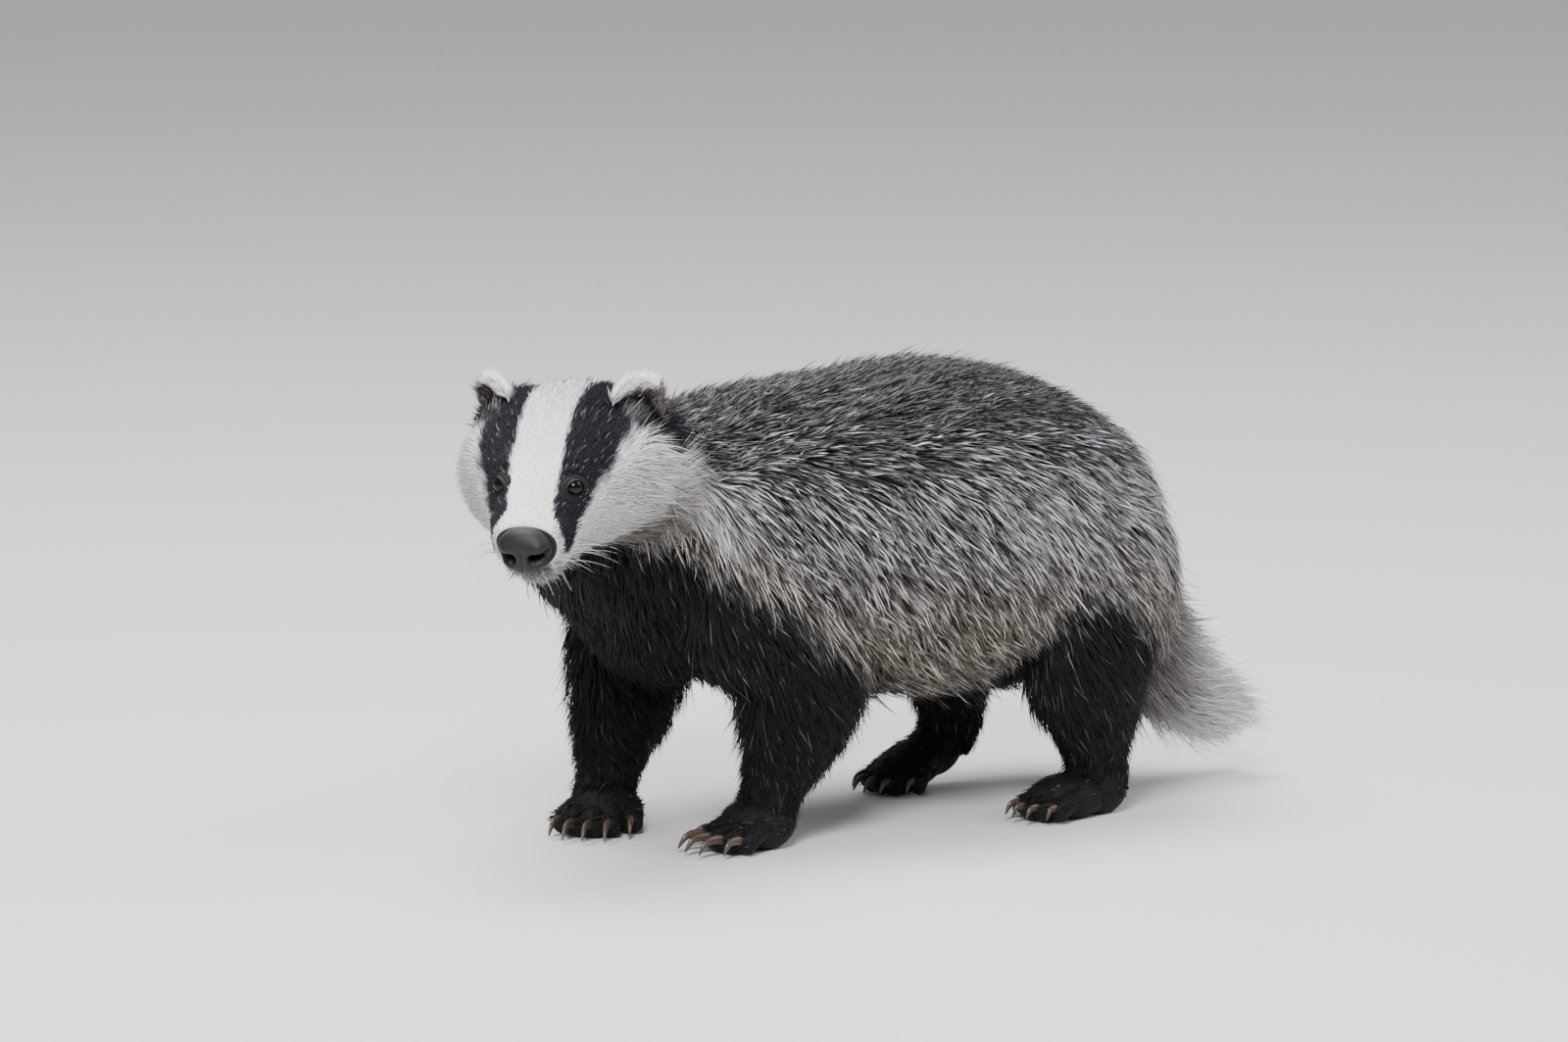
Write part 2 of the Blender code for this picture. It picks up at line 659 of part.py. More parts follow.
def leg_room(name):
    """The room of one leg, outwards of the midline and under a sloping plane."""
    side = -1 if name.endswith("left") else 1
    tilt = math.radians(LEG_PART_SLOPE) * side
    axes = np.array(((1, 0, 0), (0, math.cos(tilt), math.sin(tilt)), (0, -math.sin(tilt), math.cos(tilt))))
    ends = (-0.30, FORE_ROOM_END) if name.startswith("fore") else (HIND_ROOM_START, 0.30)
    low = (ends[0], 0.004 if side > 0 else -0.3, -0.3)
    high = (ends[1], 0.3 if side > 0 else -0.004, 0.0)
    return np.array((0, 0, LEG_PART_HEIGHT)), axes, np.array(low), np.array(high)


def neck_room():
    """The room of the neck, ahead of a plane across its root."""
    point, normal = NECK_PART
    ahead = unit(normal)
    side = unit(np.cross(ahead, (0, 0, 1)))
    axes = np.array((ahead, side, np.cross(side, ahead)))
    return np.array(point), axes, np.array((0.0, -0.3, -0.3)), np.array((0.3, 0.3, 0.2))


def room_block(room, grow):
    centre, axes, low, high = room
    return block(centre, axes, low - grow, high + grow)


def make_legs(flesh):
    for name in LEGS:
        leg = cut_copy(flesh, name, [room_block(leg_room(name), 0.0)], "INTERSECT")
        flatten(leg, (0, 0, part_height(name) + GAP), (0, 0, -1))
        keep_largest(leg)


def make_neck(flesh):
    neck = cut_copy(flesh, "neck", [room_block(neck_room(), 0.0)], "INTERSECT")
    boolean(neck, [new_object("head_room", *grown(head_shape(), GAP))], "DIFFERENCE")
    keep_largest(neck)


def make_torso(flesh):
    cutters = [room_block(leg_room(name), GAP) for name in LEGS]
    cutters.append(room_block(neck_room(), GAP))
    cutters.append(grown(tail_shape(), GAP))
    cut_copy(flesh, "torso", cutters, "DIFFERENCE")


def tail_shape():
    return loft(TAIL, 10, 10)


def head_shape():
    return closed_rings(head_points(22, 26))


def make_head():
    head = new_object("head", *head_shape(), "coat_white")
    boolean(head, [new_object(f"lid_{side}", *lid(side)) for side in (1, -1)], "UNION")
    pockets = [new_object(f"pocket_{side}", *eye_shape(side, GAP)) for side in (1, -1)]
    slots = [new_object(f"slot_{side}", *grown(ear_shape(side), 2 * GAP)) for side in (1, -1)]
    boolean(head, pockets + slots, "DIFFERENCE")
    keep_largest(head)
    return head


def surface_of(verts, faces):
    return BVHTree.FromPolygons([tuple(v) for v in verts], [tuple(int(i) for i in f) for f in faces])


def node_surface(name):
    """A search tree of a node's faces."""
    mesh = bpy.data.objects[name].data
    return surface_of([v.co for v in mesh.vertices], [p.vertices for p in mesh.polygons])


def hit_from(tree, centre, direction, reach=0.4):
    """The outermost point of the surface this way out from a centre, with its normal."""
    start = Vector(centre) + Vector(direction) * reach
    place, normal, _, _ = tree.ray_cast(start, -Vector(direction), reach)
    return (None, None) if place is None else (np.array(place), np.array(normal))


def lock(ground, root, normal, lie, length, width, coat, bend):
    """A flat tapered lock that rises from the core and lies along it.

    Each row is a low triangle over the nearest point of the ground, or straight on from
    the root where there is none: sunk at the root, at the coat's full depth at the tip.
    Where the ground folds so that a row would not lead on from the last, there is no lock.
    """
    lie = unit(lie - normal * (lie @ normal))
    sideways = np.cross(normal, lie)
    rows, last = [], -np.inf
    for step, share in zip(LOCK_STEPS + (1.0,), LOCK_WIDTHS + (0.0,)):
        near = root + lie * length * step + sideways * bend * step**2
        out = normal
        if ground:
            near, out, _, _ = ground.find_nearest(Vector(near))
            near, out = np.array(near), unit(0.6 * np.array(out) + 0.4 * normal)
        rise = -ROOT_DEPTH + (coat + ROOT_DEPTH) * math.sin(step * math.pi / 2) ** 0.9
        centre = near + out * (rise - LOCK_THICKNESS * (1 - step) * 0.5)
        ahead = (centre - root) @ lie
        if out @ normal < 0.25 or ahead < last + LEAST_ADVANCE * length:
            return None
        last = ahead
        if share == 0.0:
            rows.append(centre[None])
            continue
        across = unit(np.cross(out, lie)) * width * share / 2
        deep = out * LOCK_THICKNESS * (1 - 0.5 * step)
        rows.append(centre + np.array((across, deep * 0.6, -across)) - deep * 0.2)
    faces = [(0, 1, 2)]
    for low in range(0, 3 * len(LOCK_STEPS) - 3, 3):
        for i in range(3):
            one, two = low + i, low + (i + 1) % 3
            faces += [(one, one + 3, two), (one + 3, two + 3, two)]
    end = 3 * len(LOCK_STEPS)
    faces += [(end - 3 + i, end, end - 3 + (i + 1) % 3) for i in range(3)]
    return np.concatenate(rows), faces


def cover(name, tiers, draw, others, ground=None):
    """Grows tiers of locks on a node and joins them with it into one closed body.

    A tier is the centre its roots are found from, the directions out to them, the lie of
    the hair at each, and the locks' length, width and depth of coat. A lock that would
    touch one of the other nodes or the floor is made shorter, or left out.
    """
    own = node_surface(name)
    around = [node_surface(other) for other in others]
    locks = []
    for centre, outward, lie, length, width, coat in tiers:
        for direction, way in zip(outward, lie):
            root, normal = hit_from(own, centre, unit(direction))
            long = length * draw.uniform(0.86, 1.14)
            wide = width * draw.uniform(0.90, 1.12)
            bend = draw.uniform(-0.15, 0.15)
            if root is None:
                continue
            for share, narrow in LOCK_TRIES:
                size = (long * share, wide * narrow)
                shape = lock(ground, root, normal, way, *size, coat, bend * long * share)
                if shape is None:
                    continue
                verts, faces = grown(shape, CLEARANCE)
                tree = surface_of(verts, faces)
                if verts[:, 2].min() > 0 and not any(tree.overlap(other) for other in around):
                    locks.append(new_object(f"lock_{len(locks)}", *shape))
                    break
    boolean(bpy.data.objects[name], locks, "UNION", "MANIFOLD")
    keep_largest(bpy.data.objects[name])


def round_tier(forward, radius, width, number):
    """Directions about an axis, a lock's width apart, every second tier half a width on."""
    left = unit(np.cross((0, 0, 1), forward))
    up = np.cross(forward, left)
    count = int(round(2 * math.pi * radius / width))
    angles = (np.arange(count) + 0.5 * (number % 2)) * 2 * math.pi / count
    return np.outer(np.sin(angles), left) - np.outer(np.cos(angles), up)


def coat_lie(outward, back, droop):
    """The lie of the hair: along the body, and downwards on its sides."""
    flank = 1 - np.abs(unit(outward)[:, 2:])
    return np.asarray(back, float) + np.array((0, 0, -1.0)) * droop * flank


def path_tiers(rows, places, back, droop, length, width):
    """Tiers of locks round a table's path, at these shares of its length."""
    table = through(rows, 101)
    tangent = unit(np.gradient(table[:, :3], axis=0))
    tiers = []
    for number, place in enumerate(places):
        row, along = table[int(place * 100)], tangent[int(place * 100)]
        radius = (row[3] + row[4]) / 2
        outward = round_tier(along, radius, width, number)
        lie = coat_lie(outward, along * back, droop)
        tiers.append((row[:3], outward, lie, length, width, row[6]))
    return tiers


def rump_tiers():
    """Two rings of locks on the rump that hang down over it."""
    tiers = []
    for spread, count in RUMP_TIERS:
        turn = np.radians(np.arange(count) * 360.0 / count)
        ring, ahead = math.sin(math.radians(spread)), math.cos(math.radians(spread))
        outward = np.stack([0 * turn + ahead, ring * np.sin(turn), ring * np.cos(turn)], 1)
        lie = np.tile((0.25, 0.0, -1.0), (count, 1))
        tiers.append((np.array(RUMP_CENTRE), outward, lie, 0.060, 0.040, 0.013))
    return tiers


def leg_tiers(name):
    """Tiers round one leg, hanging down and back."""
    table = through(LEGS[name], 101)
    tiers = []
    for number, (z, count, length, width) in enumerate(LEG_TIERS):
        row = table[np.argmin(np.abs(table[:, 2] - z))]
        turn = np.radians((np.arange(count) + 0.5 * (number % 2)) * 360.0 / count)
        outward = np.stack([np.cos(turn), np.sin(turn), 0 * turn], 1)
        lie = np.tile((0.35, 0.0, -1.0), (count, 1))
        tiers.append((row[:3], outward, lie, length, width, row[6] + LEG_FRINGE))
    return tiers


def ruff_tiers():
    """Tiers on the cheeks, swept back and down over the neck."""
    forward, left, up = head_axes()
    tiers = []
    for number, ahead in enumerate((0.052, 0.030)):
        turn = np.radians(np.array((4.0, 30.0, 56.0)) + 12.0 * number)
        side = np.concatenate([np.cos(turn), -np.cos(turn)])
        fall = np.concatenate([np.sin(turn), np.sin(turn)])
        outward = np.outer(side, left) - np.outer(fall, up)
        lie = -forward + 0.34 * np.outer(np.sign(side), left) - 0.25 * up
        tiers.append((in_head([(ahead, 0.0, 0.0)])[0], outward, lie, 0.050, 0.030, 0.003))
    return tiers


def grow_coat(ground):
    """Locks from the cheeks back to the tail, each node's laid over the next one's.

    The ground is the whole core, which the long locks follow.
    """
    draw = np.random.default_rng(14)
    legs = list(LEGS)
    cover("head", ruff_tiers(), draw, ["neck", "torso", "jaw", "ear_left", "ear_right"])
    neck = path_tiers(TRUNK, NECK_TIERS, -1, 0.60, 0.060, 0.054)
    cover("neck", neck, draw, ["torso", *legs, "head", "ear_left", "ear_right"], ground)
    trunk = path_tiers(TRUNK, TRUNK_TIERS, -1, 0.60, 0.090, 0.066)
    cover("torso", trunk + rump_tiers(), draw, [*legs, "neck", "tail"], ground)
    for leg in legs:
        others = [other for other in legs if other != leg] + ["torso", "neck", "tail", *PAWS]
        cover(leg, leg_tiers(leg), draw, others, ground)
    tail = []
    for place, length in TAIL_TIERS:
        tail += path_tiers(TAIL, (place,), 1, 0.0, length, 0.044)
    cover("tail", tail, draw, ["torso", *legs, *PAWS])


def split_jaw(head):
    """Parts the lower jaw from the head along the mouth, a thin slanting cut."""
    axes = head_axes()
    mouth = in_head([(0.098, 0.0, -0.0175)])[0]
    drop = math.radians(-3.0)
    forward = axes[0] * math.cos(drop) + axes[2] * math.sin(drop)
    frame = np.array((forward, axes[1], np.cross(forward, axes[1])))
    jaw_room = block(mouth, frame, (0.0, -0.1, -0.1), (0.1, 0.1, 0.0))
    cut_room = block(mouth, frame, (-2 * GAP, -0.1, -0.1), (0.1, 0.1, 2 * GAP))
    jaw = cut_copy(head, "jaw", [jaw_room], "INTERSECT")
    boolean(head, [new_object("cut_room", *cut_room)], "DIFFERENCE")
    keep_largest(head)
    return jaw


def make_nose():
    nose = new_object("nose", *nose_shape(), "nose_skin")
    boolean(nose, [new_object(f"pit_{side}", *nostril(side)) for side in (1, -1)], "DIFFERENCE")
    keep_largest(nose)


def finish_node(obj, slot):
    """Sets a node's material, moves it from the plan to its place and shades it smooth."""
    obj.data.materials.clear()
    obj.data.materials.append(material(slot))
    obj.data.transform(Matrix.Translation(Vector(PLAN_SHIFT)))
    obj.data.shade_smooth()
    obj.data.set_sharp_from_angle(angle=math.radians(45))


def main():
    clear_scene()
    flesh = whole_flesh()
    make_legs(flesh)
    make_neck(flesh)
    make_torso(flesh)
    ground = node_surface("flesh")
    bpy.data.objects.remove(flesh)
    new_object("tail", *tail_shape())
    split_jaw(make_head())
    make_nose()
    for side, name in ((1, "left"), (-1, "right")):
        new_object(f"eye_{name}", *eye_shape(side), "eye_dark")
        new_object(f"ear_{name}", *ear_shape(side), "coat_black")
    for paw in PAWS:
        foot = make_paw(paw)
        numbers = range(len(paw_plan(paw)[0]))
        sockets = [new_object(f"socket_{n}", *grown(claw_shape(paw, n), GAP)) for n in numbers]
        boolean(foot, sockets, "DIFFERENCE")
        keep_largest(foot)
        for n in numbers:
            new_object(f"claw_{paw}_{n + 1}", *claw_shape(paw, n), "claw_horn")
    slots = {"head": "coat_white", "neck": "coat_grey", "torso": "coat_grey", "tail": "coat_grey"}
    slots.update({"jaw": "coat_white", "nose": "nose_skin"})
    grow_coat(ground)
    for obj in bpy.context.scene.objects:
        slot = slots.get(obj.name)
        if slot is None:
            slot = "claw_horn" if obj.name.startswith("claw") else "coat_black"
            slot = "eye_dark" if obj.name.startswith("eye") else slot
        finish_node(obj, slot)


main()
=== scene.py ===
"""A European badger in mid step, head turned to its left, under a full coat of mesh hair."""

import math

import bpy
import numpy as np
from mathutils import Matrix, Vector


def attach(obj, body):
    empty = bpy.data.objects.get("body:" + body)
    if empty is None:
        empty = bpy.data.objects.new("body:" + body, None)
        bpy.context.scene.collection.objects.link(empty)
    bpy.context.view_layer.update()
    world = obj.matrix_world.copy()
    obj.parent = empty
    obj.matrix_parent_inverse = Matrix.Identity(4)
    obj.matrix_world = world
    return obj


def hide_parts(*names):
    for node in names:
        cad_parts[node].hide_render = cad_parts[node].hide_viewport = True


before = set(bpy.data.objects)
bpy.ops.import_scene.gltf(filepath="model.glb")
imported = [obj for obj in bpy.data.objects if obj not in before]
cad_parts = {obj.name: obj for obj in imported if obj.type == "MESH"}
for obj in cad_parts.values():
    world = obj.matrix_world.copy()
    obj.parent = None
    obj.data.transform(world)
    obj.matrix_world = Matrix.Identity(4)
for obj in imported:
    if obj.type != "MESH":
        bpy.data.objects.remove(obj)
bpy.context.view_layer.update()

# All shapes are laid out in a plan about the body's middle; this brings the plan to the part's frame.
PLAN_SHIFT = np.array((0.0355, 0.0157, 0.0))
# The head's root in the plan, and its turn to the left and its pitch down in degrees.
HEAD_ROOT = np.array((-0.2714, -0.0499, 0.2966))
HEAD_TURN = 46.0
HEAD_PITCH = 19.6
# Places on the head are ahead of its root, to the left and up; the right side mirrors the left.
EYE_SPOT = (0.1022, 0.0256, 0.0240)
EYE_RADIUS = 0.0068
EYE_FACING = (0.68, 0.62, 0.38)
NOSE_BACK = 0.1440
EAR_SPOT = (0.019, 0.0508, 0.0265)
EAR_FACING = (0.70, 0.70, 0.12)
EAR_HEIGHT = 0.0350
EAR_HALF_WIDTH = 0.0205
RIGHT_EAR_SUNK = 0.004
# Heights of the soles and of the lowest hair above the floor.
SOLE_HEIGHT = 0.0006
HAIR_FLOOR = 0.0003
# Edge of the cubes that the body's and a paw's skin are melted from.
BODY_VOXEL = 0.0040
PAW_VOXEL = 0.0016

# Rows of the trunk: x, y, z, half width, above, below, depth of coat outside the skin.
TRUNK = (
    (0.224, 0.000, 0.190, 0.020, 0.025, 0.025, 0.012),
    (0.214, 0.000, 0.186, 0.054, 0.052, 0.050, 0.013),
    (0.192, 0.000, 0.186, 0.084, 0.077, 0.072, 0.014),
    (0.152, 0.000, 0.194, 0.112, 0.101, 0.096, 0.014),
    (0.100, 0.000, 0.202, 0.132, 0.120, 0.109, 0.014),
    (0.040, 0.000, 0.207, 0.141, 0.128, 0.113, 0.014),
    (-0.030, 0.000, 0.207, 0.135, 0.123, 0.111, 0.013),
    (-0.100, 0.000, 0.211, 0.122, 0.115, 0.108, 0.012),
    (-0.160, -0.002, 0.222, 0.108, 0.103, 0.095, 0.012),
    (-0.208, -0.010, 0.246, 0.092, 0.082, 0.088, 0.011),
    (-0.243, -0.024, 0.276, 0.076, 0.058, 0.070, 0.010),
    (-0.268, -0.047, 0.294, 0.065, 0.047, 0.051, 0.006),
    (-0.296, -0.076, 0.288, 0.058, 0.046, 0.044, 0.004),
)
# Rounded masses on the trunk: centre, half axes, depth of coat.
CHEST = ((-0.180, 0.000, 0.185), (0.060, 0.085, 0.075), 0.010)
SHOULDER = ((-0.140, 0.076, 0.200), (0.068, 0.044, 0.090), 0.011)
THIGH = ((0.132, 0.078, 0.172), (0.076, 0.052, 0.092), 0.012)
TAIL = (
    (0.186, 0.000, 0.188, 0.022, 0.022, 0.022, 0.004),
    (0.210, 0.000, 0.150, 0.031, 0.031, 0.031, 0.012),
    (0.230, 0.000, 0.112, 0.035, 0.036, 0.036, 0.017),
    (0.254, 0.000, 0.079, 0.034, 0.036, 0.036, 0.018),
    (0.282, 0.000, 0.058, 0.027, 0.029, 0.029, 0.016),
    (0.300, 0.000, 0.048, 0.012, 0.012, 0.012, 0.004),
)
# Rows of the legs: x, y, z, half width, reach ahead, reach behind, depth of coat.
LEGS = {
    "foreleg_right": (
        (-0.150, 0.070, 0.215, 0.048, 0.056, 0.060, 0.010),
        (-0.162, 0.067, 0.165, 0.046, 0.050, 0.056, 0.009),
        (-0.171, 0.062, 0.125, 0.043, 0.045, 0.052, 0.007),
        (-0.179, 0.057, 0.092, 0.035, 0.036, 0.042, 0.004),
        (-0.187, 0.053, 0.062, 0.026, 0.027, 0.030, 0.001),
        (-0.193, 0.050, 0.038, 0.021, 0.022, 0.022, 0.000),
        (-0.199, 0.048, 0.014, 0.020, 0.022, 0.020, 0.000),
    ),
    "foreleg_left": (
        (-0.120, -0.072, 0.215, 0.046, 0.060, 0.062, 0.010),
        (-0.112, -0.075, 0.165, 0.044, 0.056, 0.062, 0.009),
        (-0.108, -0.075, 0.125, 0.040, 0.050, 0.058, 0.007),
        (-0.110, -0.073, 0.092, 0.034, 0.041, 0.048, 0.004),
        (-0.117, -0.071, 0.062, 0.025, 0.028, 0.032, 0.001),
        (-0.125, -0.069, 0.038, 0.021, 0.021, 0.022, 0.000),
        (-0.131, -0.069, 0.014, 0.020, 0.022, 0.020, 0.000),
    ),
    "hindleg_left": (
        (0.136, -0.078, 0.205, 0.046, 0.070, 0.064, 0.012),
        (0.130, -0.084, 0.165, 0.045, 0.064, 0.066, 0.010),
        (0.126, -0.086, 0.125, 0.041, 0.053, 0.058, 0.008),
        (0.130, -0.083, 0.092, 0.034, 0.042, 0.046, 0.004),
        (0.139, -0.080, 0.062, 0.025, 0.029, 0.030, 0.001),
        (0.145, -0.077, 0.038, 0.021, 0.024, 0.022, 0.000),
        (0.145, -0.076, 0.014, 0.019, 0.024, 0.020, 0.000),
    ),
    "hindleg_right": (
        (0.136, 0.078, 0.205, 0.046, 0.070, 0.064, 0.012),
        (0.122, 0.082, 0.160, 0.044, 0.060, 0.060, 0.010),
        (0.108, 0.081, 0.125, 0.037, 0.046, 0.048, 0.007),
        (0.104, 0.077, 0.095, 0.029, 0.033, 0.035, 0.003),
        (0.108, 0.074, 0.070, 0.023, 0.025, 0.026, 0.000),
        (0.109, 0.072, 0.048, 0.020, 0.022, 0.022, 0.000),
        (0.102, 0.071, 0.028, 0.019, 0.022, 0.020, 0.000),
    ),
}
# Paws: leg, wrist or heel place, heading in degrees to the left of -X, heel lift.
PAWS = {
    "forepaw_right": ("foreleg_right", (-0.196, 0.047), 46.0, 0.0),
    "forepaw_left": ("foreleg_left", (-0.131, -0.069), 8.0, 0.0),
    "hindpaw_left": ("hindleg_left", (0.144, -0.077), 8.0, 0.0),
    "hindpaw_right": ("hindleg_right", (0.098, 0.071), 14.0, 14.0),
}
# Head rows: distance ahead of the head's root, half width, top, bottom, depth of coat.
HEAD = (
    (-0.018, 0.0560, 0.0425, 0.0400, 0.0050),
    (-0.004, 0.0645, 0.0500, 0.0470, 0.0050),
    (0.020, 0.0690, 0.0550, 0.0510, 0.0045),
    (0.045, 0.0728, 0.0555, 0.0500, 0.0042),
    (0.070, 0.0645, 0.0500, 0.0435, 0.0036),
    (0.092, 0.0480, 0.0420, 0.0355, 0.0026),
    (0.112, 0.0365, 0.0320, 0.0295, 0.0017),
    (0.130, 0.0290, 0.0230, 0.0260, 0.0011),
    (0.144, 0.0212, 0.0148, 0.0204, 0.0020),
)
# The share of the coat's depth that the flat-lying hair of the trunk takes up.
FLAT_LIE = 0.60
# Digits of a fore and a hind paw: reach ahead of the wrist, place aside, radius of the toes.
DIGITS = {
    "fore": ((0.020, 0.038, 0.043, 0.042, 0.034), (-0.025, -0.0135, -0.001, 0.0115, 0.023), 0.0088),
    "hind": ((0.044, 0.058, 0.062, 0.060, 0.052), (-0.023, -0.0125, -0.001, 0.0105, 0.021), 0.0080),
}
# Pads of a fore and a hind paw: middle and half axes.
PALM = ((0.006, 0.0, 0.0165), (0.029, 0.0255, 0.0195))
FOOT = ((0.028, 0.0, 0.0145), (0.033, 0.0235, 0.0170))
HEEL = ((0.000, 0.0, 0.0170), (0.0245, 0.0190, 0.0195))
PADS = {"fore": (PALM,), "hind": (FOOT, HEEL)}
# Claws of a fore and a hind paw: length, share of the full thickness, drop of the point.
CLAWS = {"fore": (0.0300, 1.0, -0.0076), "hind": (0.0170, 0.86, -0.0062)}
# Rows of the nose pad: distance ahead of its back, half width, top, bottom.
NOSE = (
    (-0.0030, 0.0176, 0.0130, 0.0160),
    (0.0020, 0.0189, 0.0146, 0.0180),
    (0.0065, 0.0192, 0.0146, 0.0184),
    (0.0105, 0.0184, 0.0126, 0.0174),
    (0.0138, 0.0146, 0.0086, 0.0140),
    (0.0154, 0.0070, 0.0040, 0.0070),
    (0.0157, 0.0004, 0.0003, 0.0004),
)
# Lines pressed into the nose pad and bumps on it, with places ahead of its back.
NOSTRIL = ((0.0142, 0.0092, -0.0046), (0.0128, 0.0125, -0.0040), (0.0100, 0.0160, -0.0022))
SLIT = ((0.0100, 0.0160, -0.0022), (0.0075, 0.0178, -0.0004), (0.0040, 0.0194, 0.0024))
MIDDLE = ((0.0155, 0.0, 0.001), (0.0155, 0.0, -0.007), (0.0140, 0.0, -0.017))
WINGS = (((0.0130, 0.0115, 0.0032), 0.0045, 0.0012), ((0.0115, 0.0115, -0.0095), 0.0045, 0.0009))
# The line of the mouth on the head's left.
MOUTH = (
    (0.1520, 0.0000, -0.0190),
    (0.1450, 0.0090, -0.0205),
    (0.1320, 0.0180, -0.0215),
    (0.1180, 0.0240, -0.0225),
    (0.1010, 0.0320, -0.0215),
)
# Rim and folds of the lids: distance from their edge, breadth, height.
LID_FOLDS = ((0.0004, 0.0004, 0.0004), (0.0015, 0.0005, -0.0005), (0.0028, 0.0007, 0.0003))
# Tufts of each kind of coat: how many in a piece, and their width.
TUFTS = {
    "under": (8500, 0.0013),
    "tips": (7500, 0.0013),
    "legs": (11000, 0.0011),
    "tail": (7000, 0.0011),
    "paw": (1700, 0.0009),
    "ear": (3600, 0.0006),
    "head": (18300, 0.0008),
}
# Where a tuft's rings sit along it: three for most of the coat, four for the banded tips.
THREE_RINGS = (0.0, 0.45, 1.0)
FOUR_RINGS = (0.0, 0.50, 0.76, 1.0)
# Layers of the body's coat: kind, rings, and how many more of its tufts stay dark.
LAYERS = (("under", THREE_RINGS, 0.25), ("tips", FOUR_RINGS, -0.25))
NO_QUADS = np.empty((0, 4), int)
NO_TRIS = np.empty((0, 3), int)
DRAW = np.random.default_rng(11)


def unit(v):
    """Vectors divided by their lengths."""
    v = np.asarray(v, float)
    return v / np.maximum(np.linalg.norm(v, axis=-1, keepdims=True), 1e-12)


def dot(a, b):
    """Inner products along the last axis, which stays."""
    return np.sum(a * b, axis=-1, keepdims=True)


def mix(a, b, share):
    """From a where the share is 0 to b where it is 1."""
    return a * (1 - share) + b * share


def bell(x, middle, breadth):
    """A bell: e to the minus square of the distance from the middle over the breadth."""
    return np.exp(-(((x - middle) / breadth) ** 2))


def ramp(x, low, high):
    """Goes smoothly from 0 at low to 1 at high."""
    t = np.clip((np.asarray(x, float) - low) / (high - low), 0, 1)
    return t * t * (3 - 2 * t)


def through(knots, count):
    """A smooth line of count points through the knots: a cubic with Catmull-Rom slopes."""
    knots = np.asarray(knots, float)
    slope = np.gradient(knots, axis=0)
    at = np.linspace(0, len(knots) - 1, count)
    low = np.minimum(at.astype(int), len(knots) - 2)
    t = (at - low)[:, None]
    return (
        knots[low] * (2 * t**3 - 3 * t**2 + 1)
        + knots[low + 1] * (3 * t**2 - 2 * t**3)
        + slope[low] * (t**3 - 2 * t**2 + t)
        + slope[low + 1] * (t**3 - t**2)
    )


def rounded(angle, power):
    """The unit superellipse at these angles, as (across, up)."""
    c, s = np.cos(angle), np.sin(angle)
    return np.sign(c) * np.abs(c) ** (2 / power), np.sign(s) * np.abs(s) ** (2 / power)


def around(sides):
    """Even angles once round."""
    return np.arange(sides) * 2 * math.pi / sides


def ring_faces(rings, sides):
    """The index of each point of a grid of rings, of its neighbour round the ring, and the quads."""
    index = np.arange(rings * sides).reshape(rings, sides)
    turn = np.roll(index, -1, axis=1)
    return index, turn, np.stack([index[:-1], index[1:], turn[1:], turn[:-1]], -1).reshape(-1, 4)


def tube(points):
    """A grid of rings as a closed skin: points, quads and the triangles of its two ends."""
    rings, sides, _ = points.shape
    index, turn, quads = ring_faces(rings, sides)
    first = np.full(sides, rings * sides)
    ends = [np.stack([first, index[0], turn[0]], 1), np.stack([first + 1, turn[-1], index[-1]], 1)]
    verts = np.concatenate([points.reshape(-1, 3), points[:1].mean(1), points[-1:].mean(1)])
    return verts, quads, np.concatenate(ends)


def loft(rows, rings, sides, up=(0, 0, 1), slack=0.0):
    """Rings along the rows' path: superellipses square to it, inside the coat's depth."""
    table = through(rows, rings)
    size = np.maximum(table[:, 3:6] - table[:, 6:] - slack, 0.003)
    tangent = unit(np.gradient(table[:, :3], axis=0))
    side = unit(np.cross(tangent, np.asarray(up, float)))
    top = np.cross(side, tangent)
    across, rise = rounded(around(sides), 2.2)
    reach = np.where(rise > 0, size[:, 1:2], size[:, 2:3]) * rise
    flat = side[:, None] * (size[:, :1] * across)[..., None]
    return tube(table[:, None, :3] + flat + top[:, None] * reach[..., None])


def ball(centre, radii, coat=0.0, rings=24, sides=36):
    """An ellipsoid inside its coat: rings of a circle whose size follows the sine."""
    radii = np.asarray(radii, float) - coat
    polar = np.linspace(0.02, math.pi - 0.02, rings)[:, None]
    angle = around(sides)
    grid = [np.sin(polar) * np.cos(angle), np.sin(polar) * np.sin(angle), np.cos(polar) + 0 * angle]
    return tube(np.stack(grid, -1) * radii + np.asarray(centre, float))


def ring_tube(centres, radii, sides, flat=1.0):
    """A tube with its own radius at each centre; flat is how wide it is to how deep."""
    tangent = unit(np.gradient(centres, axis=0))
    side = unit(np.cross(tangent, (0, 0, 1.0)))
    top = np.cross(side, tangent)
    angle = around(sides)[:, None]
    reach = np.asarray(radii, float)[:, None, None]
    ring = side[:, None] * np.cos(angle) * flat + top[:, None] * np.sin(angle)
    return tube(centres[:, None] + reach * ring)


def joined(shapes):
    """Several shapes as one."""
    counts = np.cumsum([0] + [len(verts) for verts, _, _ in shapes])
    return (
        np.concatenate([verts for verts, _, _ in shapes]),
        np.concatenate([quads + start for (_, quads, _), start in zip(shapes, counts)]),
        np.concatenate([tris + start for (_, _, tris), start in zip(shapes, counts)]),
    )


def mirrored(place, side):
    """The place on the left for side 1, and its mirror image on the right for side -1."""
    return np.array((place[0], place[1] * side, place[2]))


